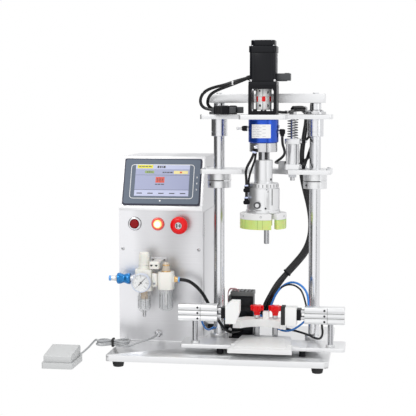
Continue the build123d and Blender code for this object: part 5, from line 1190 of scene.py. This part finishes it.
for height in (388, 362):
    aim = Vector((-34, -23, 0)).normalized()
    gripper.turned(black_anodised, at(-26.5, -17.9, height), aim,
                   [(0, 0), (4.5, 0), (4.7, 1), (4.7, 12), (3.8, 14.6), (0, 14.9)], 28)
    gripper.turned(black_anodised, at(-34, -23, height), UP,
                   [(0, 0), (4.2, 0), (4.4, 0.6), (4.4, 8.6), (0, 8.8)], 28)
    gripper.turned(ring_lilac, at(-34, -23, height), UP,
                   [(2.8, 8.8), (4.3, 8.8), (4.4, 9.4), (3.9, 11.9), (2.8, 11.9)], 28)
gripper.turned(hose_black, at(-34, -23, 374), UP, [(0, 0), (2.9, 0), (2.9, 10), (0, 10)], 20)
gripper.done("spindle", "gripper_body", slot="satin_aluminium")

turning_hose = Piece("turning_hoses")
turning_hose.hose(hose_black, spots(((-17.1, -30.7, 467.8), (-22, -32.5, 455), (-31, -31, 441),
                                     (-35.5, -27, 427), (-34, -23, 413), (-34, -23, 400))), 2.9)
turning_hose.hose(hose_black, spots(((-13.5, -27, 469), (-14.5, -27, 455), (-20, -25, 441),
                                     (-26, -23, 425), (-29.5, -20, 410), (-30, -18.5, 396),
                                     (-31, -19.5, 386))), 2.4)
turning_hose.done("spindle", "rotor_hoses", slot="hose_black")

PAD_TOP = 0.2692  # metres; each jaw holder lies over this and its pad under it
for number, angle in enumerate((4, 124, 244), start=1):
    jaw = Piece(f"cap_jaw_{number}")
    node = f"gripper_jaw_{number}"
    jaw.copied(node, grey_white, 0.6, keep=lambda middle: middle.z > PAD_TOP)
    jaw.copied(node, lime_polyurethane, 0.9, keep=lambda middle: middle.z < PAD_TOP)
    spoke = swung(RIGHT, BACK, angle)
    for row in range(2):
        for side in (-1, 1):
            swing = angle + side * (18 + row * 12)
            jaw.slab(lime_seam, at(0, 0, 315.6) + swung(RIGHT, BACK, swing) * 0.0502,
                     (0.7, 0.8, 20.2), 0.1, turn=round_about(UP, swing))
    jaw.screw(at(0, 0, 326.0) + spoke * 0.030, DOWN, 3.2, 2.2)
    for side in (-1, 1):
        edge = swung(RIGHT, BACK, angle + side * 26)
        jaw.turned(relay_grey, at(0, 0, 333) + edge * 0.0501, edge,
                   [(0, 0), (2.2, 0), (2.2, 0.5), (1.6, 0.5), (1.6, 0.1), (0, 0.1)], 18)
    jaw.done(f"jaw_{number}", node, slot="lime_polyurethane")

# ---------------------------------------------------------------- bottle table
PAD_OUTLINE = [(-55.5, -54.5), (55.5, -54.5), (42.6, 52.5), (21, 56), (0, 57.3), (-21, 56),
               (-42.6, 52.5)]
tray = Piece("bottle_rest")
tray.copied("bottle_tray", grey_white, 0.7)
tray.prism(white_nylon, PAD_OUTLINE, at(0, 0, 53.2), RIGHT, BACK, 0.82, 0.1)
for side in (-1, 1):
    tray.slab(white_nylon, at(side * 62, -21, 51.4), (8, 11, 2.6), 0.5)
tray.done("frame", "bottle_tray", slot="white_nylon")

STAR_POSTS = ((-20, 72), (21, 72))
table_legs = Piece("table_post_set")
for x, y in STAR_POSTS:
    table_legs.turned(turned_steel, at(x, y, 52.1), UP,
                      [(0, 0), (6, 0), (6.5, 0.5), (6.5, 23.1), (6, 23.6), (0, 23.6)], 32)
    table_legs.turned(machined_steel, at(x, y, 75.7), UP,
                      [(0, 0), (2.9, 0), (2.9, 35.5), (2.3, 36.2), (0, 36.2)], 16)
for side in (-1, 1):
    table_legs.turned(turned_steel, at(side * 148, -9, 50.1), UP,
                      [(0, 0), (6, 0), (6, 49.3), (0, 49.3)], 32)
    table_legs.turned(satin_aluminium, at(side * 148, -9, 50.1), UP,
                      [(6, 0), (9.4, 0), (9.8, 0.4), (9.8, 4.6), (9.2, 5.2), (6, 5.2)], 32)
table_legs.done("frame", "table_posts", slot="polished_steel")

rest = Piece("bottle_locator")
rest.copied("locator_plate", white_nylon, 0.8)
rest.done("locator", "locator_plate", slot="white_nylon")

for side, (x, y) in zip(("left", "right"), STAR_POSTS):
    knob = Piece(f"star_knob_{side}_grip")
    knob.turned(machined_steel, at(x, y, 93.3), UP,
                [(3.1, 0), (6.1, 0), (6.5, 0.4), (6.5, 7), (3.1, 7)], 28)
    outline = []
    for step in range(72):
        angle = 2 * pi * step / 72
        reach = 13.2 + 1.8 * cos(6 * angle)
        outline.append((reach * cos(angle), reach * sin(angle)))
    knob.turned(red_plastic, at(x, y, 100.2), UP, [(3.1, 0), (6.4, 0), (7, 5), (9, 10), (3.1, 10)],
                32)
    knob.prism(red_plastic, outline, at(x, y, 110.2), RIGHT, BACK, 12.2, 1.6)
    knob.turned(red_plastic, at(x, y, 122.2), UP, [(0, 0), (8, 0), (7.4, 0.7), (5, 0.9), (0, 0.9)],
                32)
    knob.done(f"star_{side}", f"star_knob_{side}", slot="red_plastic")

# ---------------------------------------------------------------- bottle clamps
clamps = Piece("clamp_air_cylinders")
for side, near, far in ((-1, -98, -184), (1, 92, 178)):
    middle, long = (near + far) / 2, abs(far - near)
    clamps.slab(satin_aluminium, at(middle, -8, 118), (long, 22.6, 36.6), 0.5, corner=2.5,
                round_along=0)
    for height, radius in ((105.9, 6.2), (118, 4.6), (130.1, 6.2)):
        clamps.turned(satin_aluminium, at(min(near, far), -21.3 + radius, height), RIGHT,
                      [(0, 0), (radius - 0.4, 0), (radius, 0.4), (radius, long - 0.4),
                       (radius - 0.4, long), (0, long)], 40)
    # dark lines in the grooves between the lobes: painted shade
    for height in (112.6, 123.4):
        clamps.slab(relay_grey, at(middle, -19.2, height), (long - 1, 0.5, 1.2), 0)
    for end_x, way in ((min(near, far), LEFT), (max(near, far), RIGHT)):
        clamps.slab(satin_aluminium, Vector(at(end_x, -7.6, 118)) - way * 0.0035, (7.2, 22.6, 36.9),
                    0.4, corner=2.5, round_along=0)
    clamps.slab(dark_hole, at(middle + 6, -21.35, 118), (0.6, 0.5, 35), 0)
    for height in (105.9, 118, 130.1):
        clamps.turned(dark_hole, at(middle, -21.4, height), FRONT,
                      [(0, 0), (2.4, 0), (2.4, 0.35), (1.8, 0.35), (1.8, 0.1), (0, 0.1)], 20)
    for y in (-18, 0):
        for height in (103, 133):
            clamps.turned(zinc_screw, Vector(at(far, y, height)) - RIGHT * side * 0.0002,
                          RIGHT * side, [(0, 0), (1.8, 0), (1.8, 0.7), (1, 0.7), (0, 0.3)], 16)
clamps.turned(machined_steel, at(99.5, 1, 136.6), UP, [(0, 0), (3.6, 0), (3.6, 0.7), (0, 0.7)], 6)
clamps.done("frame", "clamp_cylinders", slot="satin_aluminium")

# metres, where a jaw's pieces meet
LEFT_CARRIER, RIGHT_CARRIER, RIGHT_FACE = -0.0815, 0.0765, 0.0500
for body, sleeve_x, inward in (("left_clamp", -98.1, RIGHT), ("right_clamp", 92.1, LEFT)):
    name = f"{body}_jaw"
    clamp = Piece(f"{body}_pad")
    if body == "left_clamp":
        clamp.copied(name, white_nylon, 0.8, keep=lambda middle: middle.x > LEFT_CARRIER)
        clamp.copied(name, black_anodised, 0.3, keep=lambda middle: middle.x <= LEFT_CARRIER)
    else:
        clamp.copied(name, white_nylon, 0.6,
                     keep=lambda middle: RIGHT_FACE < middle.x <= RIGHT_CARRIER)
        clamp.copied(name, black_rubber, 0.8, keep=lambda middle: middle.x <= RIGHT_FACE)
        clamp.copied(name, black_anodised, 0.3, keep=lambda middle: middle.x > RIGHT_CARRIER)
    for height in (111, 125):
        clamp.turned(machined_steel, at(sleeve_x, -9, height), inward,
                     [(3.4, 0), (3.7, 0), (3.7, 8), (3.4, 8)], 24)
    clamp.done(body, name, slot="white_nylon")

# ---------------------------------------------------------------- head valve
valve = Piece("head_air_valve")
VALVE = (-59, 132)
valve.slab(black_anodised, at(*VALVE, 36.4), (61, 46, 15.6), 0.8)
valve.slab(black_anodised, at(*VALVE, 90), (51, 40, 90), 1.2, corner=3)
for number in range(4):
    valve.slab(motor_black, at(VALVE[0], 111.9, 56 + 22 * number), (44, 0.8, 17), 0.5)
valve.slab(motor_black, at(VALVE[0] - 14, 111.6, 122), (16, 0.9, 6), 0.2)
valve.slab(relay_grey, at(*VALVE, 139.9), (53, 42, 9.6), 0.8)
for column in range(3):
    for row in range(2):
        spot = at(VALVE[0] - 17 + 17 * column, VALVE[1] - 10 + 20 * row, 144.8)
        valve.slab(dark_hole, spot, (12, 13, 1.2), 0.2)
        valve.screw(spot + UP * 0.0003, UP, 2.8, 1.2)
valve.slab(relay_grey, at(VALVE[0] - 28, VALVE[1] - 6, 128), (6, 26, 14), 0.6)
valve.slab(grey_white, at(VALVE[0] - 27.2, VALVE[1] - 16, 50), (8, 15, 17), 0.6)
for number, x in enumerate((-9, -3, 3)):
    valve.hose(pink_wire, [at(VALVE[0] - 12 + x, VALVE[1] - 15, 145),
                           at(VALVE[0] - 13 + x, VALVE[1] - 17, 151),
                           at(VALVE[0] - 24 + x * 0.4, VALVE[1] - 17, 153),
                           at(VALVE[0] - 33, VALVE[1] - 16 + number, 144),
                           at(VALVE[0] - 33, VALVE[1] - 15 + number * 2, 124),
                           at(VALVE[0] - 31, VALVE[1] - 15 + number * 2, 96),
                           at(VALVE[0] - 29.4, VALVE[1] - 15 + number * 2, 66)], 0.9, sides=2)
for height in (72, 82):
    valve.turned(brass, at(-84.5, 120, height), LEFT, [(0, 0), (4.6, 0), (4.6, 2), (0, 2)], 6)
    valve.turned(machined_steel, at(-33.5, 128, height), RIGHT,
                 [(0, 0), (4.4, 0), (4.4, 1.6), (0, 1.6)], 6)
valve.done("frame", "solenoid_valve", slot="black_anodised")

# ---------------------------------------------------------------- cable harness and air lines
bundle_low = [(74, 142, 440), (76, 139, 412), (84, 134, 378), (94, 130, 342), (99, 129, 306),
              (97, 128, 272), (86, 126, 241),
              (65, 123, 214), (43, 119, 190), (24, 117, 166), (9, 119, 142), (-3, 126, 118),
              (-11, 138, 94), (-17, 152, 73),
              (-28, 168, 59), (-48, 179, 52), (-71, 181, 50.5), (-94, 178, 51), (-114, 173, 50.5),
              (-132, 172, 50), (-153, 172, 50)]
outlet_hose = [(-191.3, 47, 180), (-176, 47, 180), (-158, 52, 168), (-143, 62, 149),
               (-134, 77, 127), (-128, 95, 104),
               (-118, 112, 83), (-103, 120, 72), (-84.7, 120, 72)]
clamp_hose = [(-33.3, 128, 82), (-18, 128, 82), (-2, 117, 93), (9, 104, 117), (20, 92, 146),
              (38, 78, 168), (58, 54, 180),
              (78, 28, 180), (94, 9, 168), (99.5, 1, 151), (99.5, 1, 136.7)]
cylinder_hose = [(83.5, 57.2, 491), (84.5, 66, 491), (90, 84, 497), (99, 104, 510), (107, 117, 514),
                 (111, 127, 500), (104, 134, 474),
                 (90, 138, 452), (77, 140, 443)]
cylinder_hose_low = [(83.5, 57.2, 435), (84.5, 64, 436), (88, 78, 450), (96, 98, 478),
                     (104, 112, 497), (107, 122, 494), (102, 130, 470),
                     (90, 136, 450), (76, 138, 442)]

harness = Piece("cable_harness")
harness.hose(sleeve_black, spots(bundle_low[:9]), 8.6, sides=4)
for strand in range(4):
    line = []
    for number in range(7, len(bundle_low)):
        before, spot, after = (Vector(bundle_low[min(k, len(bundle_low) - 1)]) for k in (number - 1,
                number, number + 1))
        across = (after - before).cross(BACK).normalized()
        deep = (after - before).cross(across).normalized()
        swing = pi / 2 * strand + 0.22 * number
        reach = 4.5 if number > 8 else 2.5
        line.append(at(*(spot + (across * cos(swing) + deep * sin(swing)) * reach)))
    harness.hose(hose_black if strand else sleeve_black, line, 3.6 if strand else 4.2, sides=3)
harness.hose(hose_black, spots(outlet_hose), 3.9)
harness.hose(hose_blue, spots(clamp_hose), 2.5)
harness.hose(hose_black, [at(x - 6, y + 5, height - 6 if height > 90 else height) for x, y,
                          height in clamp_hose[1:-2]] + [at(96, 3.7, 128)], 2.0)
harness.hose(hose_black, spots(((-33.3, 120, 72), (-8, 118, 71), (30, 108, 66), (84, 84, 60),
                                (110, 54, 55), (125, 28, 58),
                                         (131, 8, 76), (129, -2, 92), (129, -4, 99.3))), 2.5)
harness.hose(hose_blue, spots(((-33.3, 132, 92), (-10, 130, 88), (14, 118, 66), (36, 104, 58),
                               (56, 88, 63), (76, 66, 79), (92, 44, 97),
                                        (104, 20, 110), (108, 3.2, 115))), 2.3)
harness.hose(hose_blue, spots(((-84.7, 120, 82), (-97, 120, 82), (-113, 104, 72), (-124, 70, 64),
                               (-132, 40, 70), (-138, 14, 94),
                                        (-138, 3.2, 110))), 2.3)
harness.hose(hose_black, spots(((-104, 3, 112), (-104, 12, 104), (-99, 30, 88), (-88, 48, 68),
                                (-74, 66, 58), (-58, 108.6, 56))), 3.4)
harness.hose(hose_black, spots(cylinder_hose), 2.9)
harness.hose(hose_black, spots(cylinder_hose_low), 2.9)
for spot, bend in ((at(75.4, 139.9, 421), 0), (at(43.5, 119, 190.5), 44)):
    harness.slab(black_anodised, spot, (19.6, 19.6, 3.6), 0.5, corner=9, round_along=2,
                 turn=round_about(BACK, bend))
harness.slab(machined_steel, at(75.4, 130, 420.8), (8, 9, 5), 0.5)
harness.done("frame", "cable_bundle", slot="hose_black")

upper = Piece("head_harness")
bundle_high = [(56, 92, 561.5), (68, 110, 562.5), (78, 127, 562), (83, 142, 551), (83, 149, 532),
               (79, 149, 508),
               (75, 146.5, 480), (72.9, 143.7, 456), (74, 142, 440.4)]
union_hose = [(40.5, 0, 502.8), (40.5, 0, 487), (44, 13, 475), (44, 28, 464), (35, 41, 454),
              (24, 54, 447), (19, 71, 443),
              (25, 91, 441), (38, 109, 442), (50, 125, 442), (64.6, 137, 441.5)]
for aside, finish in ((-3.2, hose_black), (3.2, sleeve_black)):
    line = []
    for number, spot in enumerate(bundle_high):
        before = Vector(bundle_high[max(0, number - 1)])
        after = Vector(bundle_high[min(len(bundle_high) - 1, number + 1)])
        across = (after - before).cross(Vector((0.8, -0.6, 0))).normalized()
        line.append(at(*(Vector(spot) + across * aside)))
    upper.hose(finish, line, 3.5, sides=3)
upper.hose(hose_black, spots(union_hose), 2.9)
upper.turned(black_rubber, at(56, 92, 561.5), Vector((-0.55, -0.83, 0)),
             [(0, -4), (4.6, -4), (4.6, 1), (4, 3), (0, 3)], 24)
upper.slab(tie_white, at(79.5, 131, 559.6), (3, 15.4, 15.4), 0.6, turn=round_about(UP, 62),
           corner=5, round_along=0)
moving = upper.done(None, "head_hoses", slot="hose_black")
at(40, 70, 443)
at(40, 60, 503)
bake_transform(moving)

# ---------------------------------------------------------------- foot switch
switch = Piece("foot_switch_base")
switch.copied("pedal_base", pedal_grey, 0.6)
switch.done("frame", "pedal_base", slot="pedal_grey")
tread = Piece("foot_switch_treadle")
tread.copied("pedal_treadle", pedal_grey, 1.0)
tread.done("treadle", "pedal_treadle", slot="pedal_grey")

# ---------------------------------------------------------------- stage and lights
world = bpy.data.worlds.new("studio")
bpy.context.scene.world = world
world.use_nodes = True
world.node_tree.nodes.clear()
sky = Shading(world.node_tree)
way = sky.node("ShaderNodeTexCoord")
x_part, y_part, z_part = (sky.node("ShaderNodeSeparateXYZ", {}, {0: way},
                                   output=axis) for axis in "XYZ")
# brightness by degrees from the front, the right positive: soft boxes with dark gaps
SKY_STOPS = [(-180, 0.95), (-156, 0.9), (-148, 0.12), (-112, 0.08), (-48, 0.12), (-38, 0.85),
             (-20, 1.15), (12, 1.1),
             (32, 1.0), (37, 0.22), (47, 0.20), (52, 0.95), (110, 0.9), (180, 0.95)]
heading = sky.node("ShaderNodeMapRange", {}, {"Value": x_part.maths("ARCTAN2", x_part, y_part * -1),
                                              "From Min": -pi, "From Max": pi})
bands = sky.node("ShaderNodeValToRGB",
                 {"stops": [((turn + 180) / 360, (bright, bright, bright * 1.01)) for turn,
                            bright in SKY_STOPS]},
                 {"Fac": heading})
steepness = sky.node("ShaderNodeMapRange", {}, {"Value": z_part.maths("ABSOLUTE", z_part),
                                                "From Min": 0.30, "From Max": 0.62})
around = sky.mixed(steepness, bands, (0.92, 0.92, 0.925))
felt = sky.node("ShaderNodeBackground", {}, {"Color": around, "Strength": 1.0})
seen = sky.node("ShaderNodeBackground", {}, {"Color": (1, 1, 1), "Strength": 1.0})
to_camera = sky.node("ShaderNodeLightPath", output="Is Camera Ray")
sky.node("ShaderNodeOutputWorld", {}, {"Surface": sky.node("ShaderNodeMixShader", {},
                                                           {0: to_camera, 1: felt, 2: seen})})


def lamp(name, spot, towards, wide, tall, power, tint=(1, 1, 1)):
    """A rectangular soft light, which is not part of the machine."""
    light = bpy.data.lights.new(name, "AREA")
    light.shape = "RECTANGLE"
    light.size, light.size_y = wide, tall
    light.energy = power
    light.color = tint
    holder = bpy.data.objects.new(name, light)
    bpy.context.scene.collection.objects.link(holder)
    holder.location = spot
    holder.rotation_euler = (Vector(towards) - Vector(spot)).to_track_quat("-Z", "Y").to_euler()


lamp("key_light", (-1.3, -1.9, 2.3), (0, 0, 0.2), 1.4, 1.0, 20, (1.0, 0.995, 0.985))
lamp("fill_light", (2.1, -1.6, 1.1), (0, 0, 0.25), 1.2, 1.6, 7, (0.98, 0.99, 1.0))
lamp("top_light", (0.1, 0.4, 2.6), (0, 0, 0), 1.8, 1.8, 8)

bpy.context.scene.view_settings.view_transform = "Standard"
